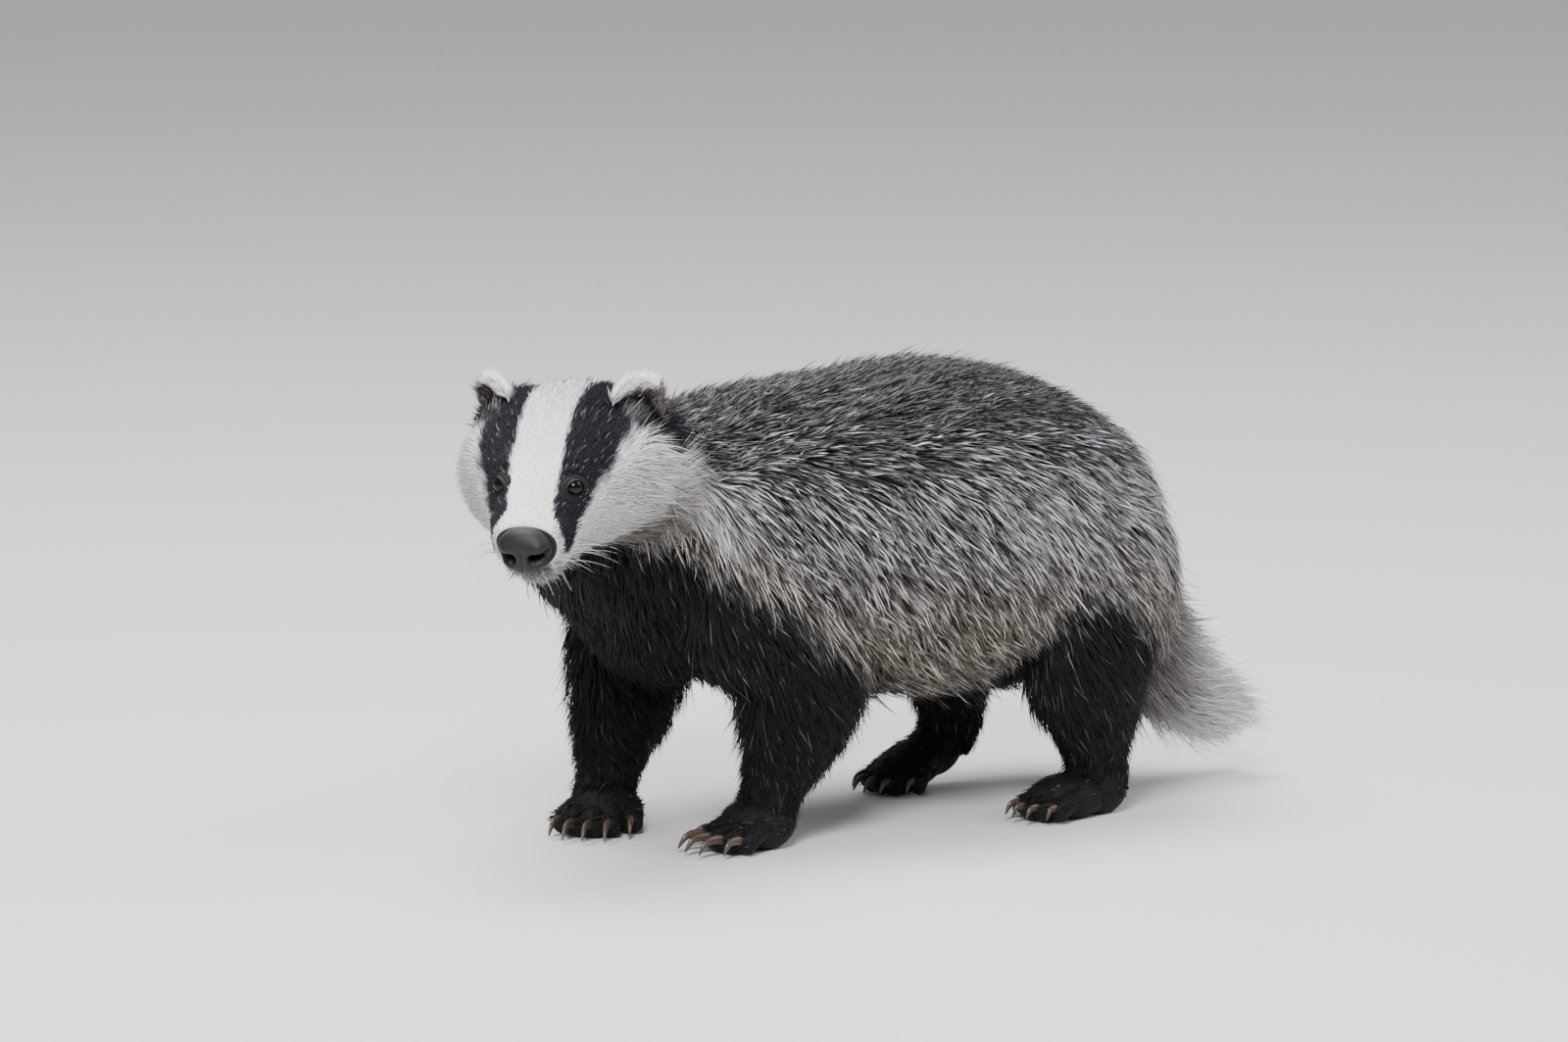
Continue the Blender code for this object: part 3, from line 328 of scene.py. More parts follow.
def new_object(name, shape):
    """A smooth mesh object from points, quads and triangles."""
    points, quads, tris = shape
    sizes = np.concatenate([np.full(len(quads), 4), np.full(len(tris), 3)])
    corners = np.concatenate([quads.ravel(), tris.ravel()])
    mesh = bpy.data.meshes.new(name)
    mesh.vertices.add(len(points))
    mesh.vertices.foreach_set("co", np.asarray(points, np.float32).ravel())
    mesh.loops.add(len(corners))
    mesh.loops.foreach_set("vertex_index", corners.astype(np.int32))
    mesh.polygons.add(len(sizes))
    mesh.polygons.foreach_set("loop_start", (np.cumsum(sizes) - sizes).astype(np.int32))
    mesh.update(calc_edges=True)
    mesh.shade_smooth()
    obj = bpy.data.objects.new(name, mesh)
    bpy.context.scene.collection.objects.link(obj)
    return obj


def placed(name, shape):
    """A mesh object of a shape of the plan, in the part's frame."""
    points, quads, tris = shape
    return new_object(name, (points + PLAN_SHIFT, quads, tris))


def read_mesh(mesh):
    """A mesh's points and triangles as arrays."""
    mesh.calc_loop_triangles()
    points = np.empty(len(mesh.vertices) * 3, np.float32)
    mesh.vertices.foreach_get("co", points)
    tris = np.empty(len(mesh.loop_triangles) * 3, np.int32)
    mesh.loop_triangles.foreach_get("vertices", tris)
    return points.reshape(-1, 3).astype(float), tris.reshape(-1, 3)


def melted(shapes, voxel, rounds):
    """The shapes melted into one skin, its creases eased."""
    obj = new_object("melt", joined(shapes))
    melt = obj.modifiers.new("melt", "REMESH")
    melt.mode = "VOXEL"
    melt.voxel_size = voxel
    ease = obj.modifiers.new("ease", "SMOOTH")
    ease.factor = 0.5
    ease.iterations = rounds
    graph = bpy.context.evaluated_depsgraph_get()
    points, tris = read_mesh(obj.evaluated_get(graph).to_mesh())
    bpy.data.objects.remove(obj)
    return points, NO_QUADS, tris


# The head's own frame


def head_axes():
    """The head's forward, left and up directions."""
    turn, pitch = math.radians(HEAD_TURN), math.radians(HEAD_PITCH)
    level = np.array((-math.cos(turn), -math.sin(turn), 0.0))
    forward = level * math.cos(pitch) + np.array((0, 0, -math.sin(pitch)))
    left = np.array((-level[1], level[0], 0.0))
    return np.array((forward, left, np.cross(forward, left)))


HEAD_AXES = head_axes()


def in_head(places):
    """Places ahead of, left of and above the head's root as points of the plan."""
    return HEAD_ROOT + np.asarray(places, float) @ HEAD_AXES


def head_places(points):
    """Points of the plan as places ahead of, left of and above the head's root."""
    return (points - HEAD_ROOT) @ HEAD_AXES.T


def turned(local):
    """The turn of places about the head's axis, in degrees from its top to either side."""
    return np.degrees(np.arctan2(np.abs(local[:, 1]), local[:, 2]))


def folding(local):
    """Signs that fold the right side of the head onto the left."""
    return np.sign(local[:, 1:2]) ** (0, 1, 0)


def gap_to(spot, local):
    """How far places lie from the nearer of a spot on the head and its mirror image."""
    return np.minimum(*(np.linalg.norm(local - mirrored(spot, side), axis=1) for side in (1, -1)))


def dented(local, away, dents):
    """Pushes the surface out by bell-shaped bumps and in by bell-shaped dents, on both sides."""
    for place, radius, height in dents:
        for side in (1, -1):
            far = np.linalg.norm(local - mirrored(place, side), axis=-1)
            local = local + away * (height * bell(far, 0, radius))[..., None]
    return local


def groove(local, away, line, width, depth):
    """Presses a line into the surface: a bell-shaped trench along these points, on both sides."""
    near = np.full(local.shape[:-1], np.inf)
    for side in (1, -1):
        course = through([mirrored(p, side) for p in line], 40)
        for spot in course:
            near = np.minimum(near, np.linalg.norm(local - spot, axis=-1))
    return local - away * (depth * bell(near, 0, width))[..., None]


def head_skin(rings=130, sides=260):
    """The head's rings inside its coat, with brow, cheekbone, eye hollow, lips and mouth."""
    table = through(HEAD, rings)
    angle = around(sides) + math.pi / 2
    crown = np.interp(table[:, :1], (0.030, 0.100), (2.8, 2.15))
    across, rise = rounded(angle, np.where(np.sin(angle) > 0, crown, 2.15))
    reach = np.where(rise > 0, table[:, 2:3], table[:, 3:4]) - table[:, 4:5]
    width = table[:, 1:2] - table[:, 4:5]
    local = np.stack([table[:, :1] + 0 * across, -width * across, reach * rise], -1)
    away = unit(local * (0, 1, 1))
    ahead, aside, up = EYE_SPOT
    dents = (
        ((ahead + 0.001, aside + 0.003, up + 0.002), 0.007, -0.0030),
        ((ahead - 0.016, aside + 0.001, up + 0.014), 0.013, 0.0028),
        ((ahead - 0.012, aside + 0.014, up - 0.014), 0.017, 0.0030),
        ((ahead + 0.020, aside - 0.002, up - 0.006), 0.012, -0.0022),
        ((ahead + 0.036, aside - 0.008, up - 0.024), 0.012, 0.0022),
        ((0.126, 0.024, -0.0165), 0.007, 0.0016),
        ((0.140, 0.012, -0.0240), 0.008, 0.0010),
        ((0.128, 0.006, -0.0270), 0.011, 0.0042),
    )
    local = dented(local, away, dents)
    return tube(in_head(groove(local, away, MOUTH, 0.0013, 0.0022)))


def ear_shape(side, across_count=31, up_count=25):
    """A round-topped cup: an outer sheet and an inner one sunk into it, joined at the rim."""
    u = np.sin(np.linspace(-0.5, 0.5, across_count) * math.pi)
    v = np.linspace(0, 1, up_count)[:, None] ** 0.8
    half = EAR_HALF_WIDTH * np.sqrt(np.clip(1 - np.maximum(v - 0.45, 0) ** 2 / 0.31, 0.03, 1))
    width = half * (0.80 + 0.20 * np.minimum(v / 0.45, 1)) * u
    height = EAR_HEIGHT * (v - 0.10 * v * (1 - u**2) * (v - 1)) + 0 * u
    hollow = 0.014 * (1 - u**2) * (1 - v**3)
    outer = np.stack([-hollow - 0.0009, width, height], -1)
    inner = np.stack([-0.90 * hollow + 0.0005, width, height], -1)
    local = np.concatenate([outer.reshape(-1, 3), inner.reshape(-1, 3)])
    grid = np.arange(across_count * up_count).reshape(up_count, across_count)
    quads = np.stack([grid[:-1, :-1], grid[:-1, 1:], grid[1:, 1:], grid[1:, :-1]], -1).reshape(-1, 4)
    step = across_count * up_count
    edge = np.concatenate([grid[0], grid[1:, -1], grid[-1, -2::-1], grid[-2:0:-1, 0]])
    after = np.roll(edge, -1)
    rim = np.stack([edge, after, after + step, edge + step], 1)
    quads = np.concatenate([quads[:, ::-1], quads + step, rim])
    sunk = (0, 0, RIGHT_EAR_SUNK * (side < 0))
    points = in_head(mirrored(EAR_SPOT, side) - sunk + local @ ear_axes(side))
    return points, quads, NO_TRIS


def ear_axes(side):
    """The ear's facing, along and up directions in the head's frame."""
    facing = unit(mirrored(EAR_FACING, side))
    along = unit(np.cross(mirrored((-0.05, 0.22, 1.0), side), facing))
    return np.array((facing, along, np.cross(facing, along)))


def ear_places(local):
    """How far places belong to an ear, and their depth, outward place and height on it."""
    place = local * folding(local) - EAR_SPOT
    deep, out, high = (place @ ear_axes(1).T).T
    share = ramp(high, -0.002, 0.006) * (np.linalg.norm(place, axis=1) < 0.052)
    return share * ramp(beyond_head(local), 0.0005, 0.004), deep, out, high


def eye_frame(side):
    """The eye's centre and its facing, along and high directions, all in the head's frame."""
    facing = unit(mirrored(EYE_FACING, side))
    along = unit(np.cross((0, 0, 1), facing))
    return mirrored(EYE_SPOT, side), facing, along, np.cross(facing, along)


def lid_shape(side, face, count=84, steps=26):
    """Both lids as one ring: off the eyeball, over a rim and two folds, into the face.

    Each height above the eye's middle goes from the ball's own sphere to the face's surface,
    a bell-weighted mean of its nearby points; rim and folds are narrow bells added to it.
    With the shape comes how far each of its points is on the paler rim and fold.
    """
    centre, facing, along, high = eye_frame(side)
    near = head_places(face) - centre
    near = near[np.linalg.norm(near, axis=1) < 0.024]
    angle = around(count)[:, None]
    corner = np.abs(np.cos(angle)) ** 5
    opening = 0.0056 - 0.0006 * np.sin(angle) ** 2 + 0.0008 * corner - 0.0003 * np.sin(angle)
    beyond = np.linspace(0, 1, steps) ** 1.2 * 0.0070
    radius = opening + beyond
    u, v = radius * np.cos(angle), radius * np.sin(angle)
    gap = (u[..., None] - near @ along) ** 2 + (v[..., None] - near @ high) ** 2
    weight = np.exp(-gap / 0.0018**2) + 1e-9
    ground = (weight * (near @ facing)).sum(-1) / weight.sum(-1)
    over = np.sqrt(np.maximum((EYE_RADIUS + 0.0004) ** 2 - radius**2, 0.003**2))
    blend = ramp(beyond, 0.0010, 0.0066)
    height = mix(over, ground - 0.0003, blend)
    for place, breadth, rise in LID_FOLDS:
        height = height + rise * bell(beyond, place, breadth)
    flat = along * u[..., None] + high * v[..., None]
    rings = np.transpose(centre + flat + facing * height[..., None], (1, 0, 2))
    _, _, quads = ring_faces(steps, count)
    rim = bell(beyond, 0.0009, 0.0005) + 0.5 * bell(beyond, 0.0028, 0.0010)
    return (in_head(rings.reshape(-1, 3)), quads, NO_TRIS), np.repeat(rim, count)


def nose_shape():
    """The bare nose pad: a blunt shield of superellipses, wide above, with its nostrils and lines.

    With the shape comes how dark each of its points is, which is a bell about the nostrils: painted shade in
    their hollows.
    """
    table = through(np.array(NOSE) + (NOSE_BACK, 0, 0, 0), 110)
    across, rise = rounded(around(180), 2.12)
    reach = np.where(rise > 0, table[:, 2:3], table[:, 3:4])
    local = np.stack([table[:, :1] + 0 * across, -table[:, 1:2] * across, reach * rise], -1)
    local[..., 1] *= 1 - 0.26 * ramp(-local[..., 2], 0.002, 0.018)
    inward = unit(local - np.array((NOSE_BACK - 0.004, 0, -0.002)))
    hole, slit, middle = (np.array(line) + (NOSE_BACK, 0, 0) for line in (NOSTRIL, SLIT, MIDDLE))
    local = dented(local, inward, [(np.array(spot) + (NOSE_BACK, 0, 0), *size) for spot, *size in WINGS])
    # How deep each point lies in a nostril's hollow, which sets its painted shade.
    dark = groove(local, inward, hole, 0.0036, 1.0)
    dark = np.linalg.norm(dark - local, axis=-1)
    local = groove(local, inward, hole, 0.0034, 0.0130)
    local = groove(local, inward, slit, 0.0013, 0.0030)
    shape = tube(in_head(groove(local, inward, middle, 0.0013, 0.0011)))
    return shape, np.append(np.clip(dark.ravel() * 2.4, 0, 1), (0, 0))


# Paws and claws


def heading(degrees):
    """Forward, left and up directions of a paw that points this many degrees to the left of -X."""
    turn = math.radians(degrees)
    forward = np.array((-math.cos(turn), -math.sin(turn), 0.0))
    return np.array((forward, np.array((-forward[1], forward[0], 0.0)), (0.0, 0.0, 1.0)))


def paw_plan(name):
    """Digit lines of a paw, each from knuckle to tip, ahead, left and up of its wrist."""
    inner = 1 if name.endswith("left") else -1
    reach, spread, radius = DIGITS[name[:4]]
    lines = []
    for ahead, aside in zip(reach, spread):
        knuckle = (ahead - 0.024, aside * 0.72 * inner, 0.0190)
        joint = (ahead - 0.010, aside * 0.92 * inner, 0.0150)
        lines.append(np.array((knuckle, joint, (ahead, aside * inner, 0.0085))))
    return lines, radius


def paw_frame(name):
    """Turns a paw's own places into the plan, the heel lifted about the toes."""
    _, (x, y), degrees, lift = PAWS[name]
    axes = heading(degrees)
    pivot = np.array((0.048, 0.0, 0.0))
    angle = math.radians(lift)
    raise_heel = np.array(
        ((math.cos(angle), 0, -math.sin(angle)), (0, 1, 0), (math.sin(angle), 0, math.cos(angle)))
    )

    def place(points):
        """Turns the points up about the toes, fully from 2 cm behind them, then into the plan."""
        points = np.asarray(points, float)
        behind = np.clip((pivot[0] - points[..., :1]) / 0.02, 0, 1)
        lifted = pivot + (points - pivot) @ raise_heel
        return np.array((x, y, 0.0)) + mix(points, lifted, behind) @ axes

    return place


def paw_skin(name):
    """Palm, heel, toes and the foot of the leg melted into one, flat under the sole."""
    place = paw_frame(name)
    lines, radius = paw_plan(name)
    shapes = [ball(*pad) for pad in PADS[name[:4]]]
    taper = np.interp(np.linspace(0, 1, 14), (0, 0.7, 0.86, 0.95, 1), (0.86, 0.95, 0.90, 0.70, 0.36))
    for line in lines:
        tip = line[-1] + (line[-1] - line[-2]) * 0.35
        centres = through(np.concatenate([line, [tip]]), 14)
        shapes.append(ring_tube(centres, radius * taper, 20))
    shapes = [(place(verts), quads, tris) for verts, quads, tris in shapes]
    foot_of_leg = LEGS[PAWS[name][0]][3:]
    shapes.append(loft(foot_of_leg, 22, 36, up=(-1, 0, 0), slack=0.0008))
    points, quads, tris = melted(shapes, PAW_VOXEL, 4)
    points[:, 2] = np.maximum(points[:, 2], SOLE_HEIGHT)
    return points, quads, tris


def claw_shape(name, number):
    """One curved claw: a tube, deeper than wide, from inside the toe to its point."""
    length, thickness, drop = CLAWS[name[:4]]
    place = paw_frame(name)
    line = paw_plan(name)[0][number]
    length = length * (0.86 if number in (0, 4) else 1.0)
    root = line[-1] + np.array((0.0015, 0.0, 0.0022))
    forward = unit((line[-1] - line[-2]) * (1, 1, 0))
    knots = [
        root - forward * 0.0045,
        root + forward * length * 0.30 + np.array((0, 0, 0.0022)),
        root + forward * length * 0.62 + np.array((0, 0, 0.0006)),
        root + forward * length * 0.86 + np.array((0, 0, drop)),
    ]
    t = np.linspace(0, 1, 22)
    size = np.interp(t, (0, 0.25, 0.5, 0.75, 0.93, 1), (3.5, 3.5, 3.0, 2.1, 1.0, 0.25)) * 0.001
    verts, quads, tris = ring_tube(through(knots, 22), size * thickness, 20, flat=0.78)
    return place(verts), quads, tris


# The lie, length and colour of the coat


def beyond_head(local):
    """How far places in the head's frame lie outside the head's rings."""
    rows = np.array(HEAD)
    size = [np.interp(local[:, 0], rows[:, 0], rows[:, k]) for k in (1, 2, 3)]
    high = np.where(local[:, 2] > 0, size[1], size[2])
    share = np.hypot(local[:, 1] / size[0], local[:, 2] / high)
    return (share - 1) * np.minimum(size[0], high)


def leg_share(points):
    """How far each point belongs to a leg, from its distance to the leg's path at its height."""
    share = np.zeros(len(points))
    for rows in LEGS.values():
        table = through(rows, 60)[::-1]
        at = [np.interp(points[:, 2], table[:, 2], table[:, column]) for column in (0, 1, 3, 4)]
        far = np.hypot((points[:, 0] - at[0]) / (at[3] + 0.012), (points[:, 1] - at[1]) / (at[2] + 0.012))
        share = np.maximum(share, ramp(far, 1.25, 0.95))
    return share * ramp(points[:, 2], 0.175, 0.115)


def tail_share(points):
    """How far each point belongs to the tail, with the tail's direction there."""
    table = through(TAIL, 40)
    gap = np.linalg.norm(points[:, None] - table[None, :, :3], axis=-1)
    near = gap.argmin(1)
    share = ramp(gap.min(1) - table[near, 3], 0.010, 0.0) * ramp(points[:, 0], 0.195, 0.222)
    return share, unit(np.gradient(table[:, :3], axis=0))[near]


def trunk_way(points):
    """The trunk's own backward direction and axis place beside each point."""
    table = through(TRUNK, 120)[::-1]
    tangent = -unit(np.gradient(table[:, :3], axis=0))
    way = [np.interp(points[:, 0], table[:, 0], -tangent[:, k]) for k in range(3)]
    axis = [np.interp(points[:, 0], table[:, 0], table[:, k]) for k in (1, 2)]
    return unit(np.stack(way, -1)), np.stack(axis, -1)


def lie_of(points, normals):
    """The way the hair lies: back along the body and down its sides, down the legs and tail."""
    local = head_places(points)
    way, _ = trunk_way(points)
    flank = ramp(normals[:, 2:], 1.02, 0.25) * (0.5 + 0.5 * ramp(normals[:, 2:], -1.0, -0.5))
    down = np.array((0, 0, -1.0))
    rump = ramp(points[:, :1], 0.15, 0.215)
    lie = way + down * (1.25 * flank + 1.4 * rump)
    lie = lie + wander(points, 0.055) * 0.10 + wander(points, 0.018) * 0.15
    leg = leg_share(points)[:, None]
    trail = np.array((0.42, 0, -1.0)) + wander(points, 0.03) * 0.12
    lie = mix(lie, trail, leg)
    share, along = tail_share(points)
    brush = along + (0.08, 0, 0.20) + wander(points, 0.02) * 0.15
    lie = mix(lie, brush, share[:, None])
    forward, left, up = HEAD_AXES
    aside = np.sign(local[:, 1:2]) * ramp(np.abs(local[:, 1:2]), 0.006, 0.045)
    cheek = cheek_share(local)[:, None]
    ruff = ruff_share(local)[:, None]
    face = -forward * (1 - 0.5 * cheek - 0.4 * ruff)
    face = face + left * aside * (0.30 + 0.90 * cheek) - up * 0.55 * cheek
    on_head = ramp(local[:, :1], -0.035, 0.010) * ramp(beyond_head(local)[:, None], 0.020, 0.008)
    lie = mix(lie, face + wander(points, 0.02) * 0.10, on_head)
    ear, _, out, _ = ear_places(local)
    fan = ear_axes(1)[2] + ear_axes(1)[1] * np.clip(out / 0.02, -1, 1)[:, None] * 0.5
    fan = fan * folding(local)
    lie = mix(lie, fan @ HEAD_AXES + wander(points, 0.02) * 0.1, ear[:, None])
    foot = ramp(points[:, 2:], 0.040, 0.020)
    ahead = np.array((-0.95, -0.25, 0.05)) - np.array((0, 0, 0.40)) * ramp(points[:, 2:], 0.008, 0.024)
    lie = mix(lie, ahead, foot)
    return unit(lie - normals * dot(lie, normals))


def wander(points, size):
    """A slow swirl of directions: sines of the place, each about this long a wave."""
    turn = 2 * math.pi / size
    skew = np.array(((0.9, 0.5, -0.6), (-0.4, 1.0, 0.7), (0.7, -0.6, 0.8)))
    slow = np.sin(points @ skew.T * turn + (0.3, 1.7, 4.1))
    return slow + 0.6 * np.sin(points @ skew * turn * 1.7 + (2.2, 0.4, 3.3))


def cheek_share(local):
    """How far places in the head's frame belong to the cheeks."""
    return ramp(turned(local), 52, 78) * ramp(local[:, 0], 0.100, 0.060)


def ruff_share(local):
    """How far places belong to the ruff, low on the back of the cheeks."""
    side = turned(local)
    return ramp(side, 92, 116) * ramp(side, 160, 140) * ramp(local[:, 0], 0.070, 0.035)


def mouth_gap(local):
    """How far above the mouth's line places on the muzzle lie, and far off elsewhere."""
    line = np.interp(local[:, 0], [p[0] for p in MOUTH[::-1]], [p[2] for p in MOUTH[::-1]])
    return local[:, 2] - line + (local[:, 0] < MOUTH[-1][0]) + (local[:, 0] > 0.150)


# Tables of the coat: places along the body, up the legs, along the head and tail, and values there.
BACK_DEPTH = ((-0.27, -0.22, -0.1, 0.04, 0.2), (0.009, 0.010, 0.0092, 0.0096, 0.0096))
LEG_LENGTH = ((0.02, 0.045, 0.075, 0.11, 0.16), (0.006, 0.012, 0.019, 0.030, 0.042))
LEG_DEPTH = ((0.03, 0.06, 0.1, 0.16), (0.0014, 0.0042, 0.0095, 0.0125))
FACE_LENGTH_MM = ((0.0, 0.03, 0.06, 0.09, 0.12, 0.145), (24, 18, 13, 9, 6.5, 4))
TAIL_LENGTH = 0.046
TAIL_LENGTH_SHARE = ((0.20, 0.255, 0.300), (1.0, 0.90, 0.32))
TAIL_DEPTH = ((0.20, 0.24, 0.30), (0.022, 0.024, 0.020))


def coat_sizes(points, kind):
    """Length and depth of the coat at each root: tables and ramps along the body, legs and head."""
    local = head_places(points)
    leg = leg_share(points)
    x, _, z = points.T
    high = ramp(z, 0.24, 0.31)
    length = 0.031 + 0.010 * ramp(z, 0.17, 0.11) - 0.002 * ramp(x, -0.12, -0.24) - 0.007 * high
    length = length + 0.006 * ramp(x, 0.15, 0.20) * (1 - high)
    depth = np.interp(x, *BACK_DEPTH) - 0.002 * high
    leg_length = np.interp(z, *LEG_LENGTH)
    leg_depth = np.interp(z, *LEG_DEPTH)
    depth = depth + 0.006 * ramp(z, 0.135, 0.105)
    length = mix(length, leg_length, leg)
    depth = mix(depth, leg_depth, leg)
    low = z < 0.05
    length, depth = np.where(low, leg_length, length), np.where(low, leg_depth, depth)
    if kind == "head":
        ahead = local[:, 0]
        length = np.interp(ahead, *FACE_LENGTH_MM) * 0.001
        side = turned(local)
        cheek = cheek_share(local)
        chin = ramp(side, 125, 150) * ramp(ahead, 0.09, 0.11)
        ruff = ruff_share(local)
        right = local[:, 1] < 0
        base = ramp(gap_to(EAR_SPOT, local), 0.034, 0.020) * ramp(side, 20, 38)
        length = length * (1 + 0.80 * cheek + 0.9 * chin + 0.3 * ruff + 0.7 * base)
        length = length * np.where(right, 1 - 0.6 * np.maximum(cheek, ruff), 1)
        depth = length * 0.13 + 0.0006 + 0.0024 * cheek + 0.005 * chin + 0.003 * base
        full = np.maximum(ruff, 0.62 * cheek * ramp(ahead, 0.080, 0.045))
        depth = depth + np.where(right, 0.0, 0.014) * full
        shy = 0.32 + 0.68 * ramp(gap_to(EYE_SPOT, local), 0.0075, 0.017)
        length, depth = length * shy, depth * shy
    if kind == "ear":
        _, _, _, high = ear_places(local)
        length, depth = 0.0120 - 0.0030 * ramp(high, 0.02, 0.034), 0.0044 + 0 * x
    if kind == "tail":
        length = TAIL_LENGTH * np.interp(x, *TAIL_LENGTH_SHARE)
        depth = np.interp(x, *TAIL_DEPTH)
    return length, depth


# Colours of the hair.
GREY_TIP = np.array((0.69, 0.65, 0.70))
BEIGE_TIP = np.array((0.58, 0.52, 0.47))
TAIL_HAIR = np.array((0.84, 0.81, 0.82))
WHITE = np.array((0.91, 0.90, 0.93))
BLACK = np.array((0.006, 0.006, 0.007))
# The face's own black hair, with a bluish tint that is a painted reflection of the sky.
FACE_BLACK_SKY_TINTED = np.array((0.0050, 0.0053, 0.0088))
DARK = np.array((0.014, 0.013, 0.015))
BROWN = np.array((0.062, 0.047, 0.037))
EAR_BROWN = np.array((0.036, 0.030, 0.029))
# Colours of the skin under the coat, of the nose and of the lids.
TAIL_SKIN = np.array((0.25, 0.23, 0.21))
EAR_SKIN = np.array((0.026, 0.021, 0.021))
LIP_SKIN = np.array((0.012, 0.009, 0.009))
NOSE_COLOUR = np.array((0.0108, 0.0086, 0.0100))
LID_COLOUR = np.array((0.0045, 0.0042, 0.0045))
LID_RIM = np.array((0.026, 0.022, 0.022))
# Markings of the head by the distance ahead of its root: half width of the white stripe and how
# far it leans aside, in mm; outer edge of the black stripe and upper edge of the tan, in degrees.
WHITE_HALF_MM = ((-0.03, 0.07, 0.109, 0.125, 0.133, 0.138, 0.145), (18.5, 17.3, 16.8, 16, 17.5, 21, 27))
WHITE_LEAN_MM = ((0.0, 0.07, 0.11, 0.134), (7.6, 3.6, 1.0, 0.0))
BLACK_EDGE = (
    (-0.03, 0.015, 0.035, 0.05, 0.07, 0.093, 0.109, 0.119, 0.127, 0.135),
    (80, 77, 66, 55, 55, 61, 71, 78, 95, 112),
)
TAN_EDGE = ((0.0, 0.025, 0.045, 0.069, 0.0865), (114, 109, 106, 116, 136))
# Height of the line between the black underside and the grey, along the body.
BLACK_LINE = (
    (-0.28, -0.24, -0.2, -0.11, -0.06, 0.0, 0.05, 0.09, 0.125, 0.156, 0.19, 0.22),
    (0.262, 0.250, 0.228, 0.166, 0.124, 0.098, 0.132, 0.178, 0.186, 0.152, 0.120, 0.105),
)


def markings(points):
    """Shares of white, black, beige, tail and ear coat at each point, and of the dark back.

    Each is a product of ramps over the distance ahead, aside, about or above, with edges that
    a slow swirl roughens.
    """
    local = head_places(points)
    ahead, side = local[:, 0], turned(local)
    soft = wander(points, 0.012)[:, 0] * 0.0006
    inner = np.interp(ahead, *WHITE_HALF_MM)
    aside = np.abs(local[:, 1] + np.interp(ahead, *WHITE_LEAN_MM) * 0.001)
    stripe = ramp(aside + soft, inner * 0.001 - 0.0012, inner * 0.001 + 0.0012)
    edge = np.interp(ahead, *BLACK_EDGE)
    stripe = stripe * ramp(side + soft * 2500, edge + 4, edge - 4)
    throat = ramp(side + soft * 2500, 138, 150) * ramp(ahead, 0.105, 0.085)
    face_black = np.maximum(stripe, throat)
    on_head = ramp(ahead, -0.020, -0.004) * ramp(beyond_head(local), 0.020, 0.008)
    x, y, z = points.T
    _, axis = trunk_way(points)
    rough = wander(points, 0.05)[:, 1] * 0.004 + wander(points, 0.017)[:, 2] * 0.004
    line = np.interp(x, *BLACK_LINE)
    black = ramp(z + rough, line + 0.012, line - 0.012)
    turn = np.degrees(np.arctan2(np.abs(y - axis[:, 0]), z - axis[:, 1]))
    nape = ramp(turn, 72, 54)
    band = (1 - nape) * ramp(x + rough, -0.150, -0.215) * (1 - black)
    band = band * ramp(z + rough, line + 0.004, line + 0.030)
    belly = ramp(z + rough, 0.235, 0.16) * (1 - black) * (1 - band)
    neck = ramp(x, -0.10, -0.17) * ramp(z + rough, line + 0.050, line + 0.020) * (1 - black) * (1 - band)
    beige = np.maximum(belly, neck)
    tail, _ = tail_share(points)
    ear, _, out, high = ear_places(local)
    frayed = high + soft * 5
    inner_edge = ramp(frayed, 0.006, 0.013) * ramp(out + soft * 3, -0.005, -0.011)
    rim = np.maximum(ramp(frayed, 0.0215, 0.0270), inner_edge)
    other = (1 - tail) * (1 - on_head) * (1 - ear)
    low = np.interp(ahead, *TAN_EDGE)
    tan = ramp(side + soft * 6000 - low, -9, 9) * ramp(ahead + soft * 4, 0.094, 0.080)
    chin = 0.75 * ramp(side, 130, 146) * ramp(ahead, 0.096, 0.110)
    tan = np.maximum(tan, chin) * (1 - face_black)
    white = band * other + (1 - face_black - tan) * on_head * (1 - ear) + rim * ear
    black = black * other + face_black * on_head * (1 - ear)
    back = ramp(z + rough, 0.25, 0.315) * (1 - on_head)
    beige = beige * other + tan * on_head
    return white, black, beige, tail * (1 - on_head), (1 - rim) * ear, back


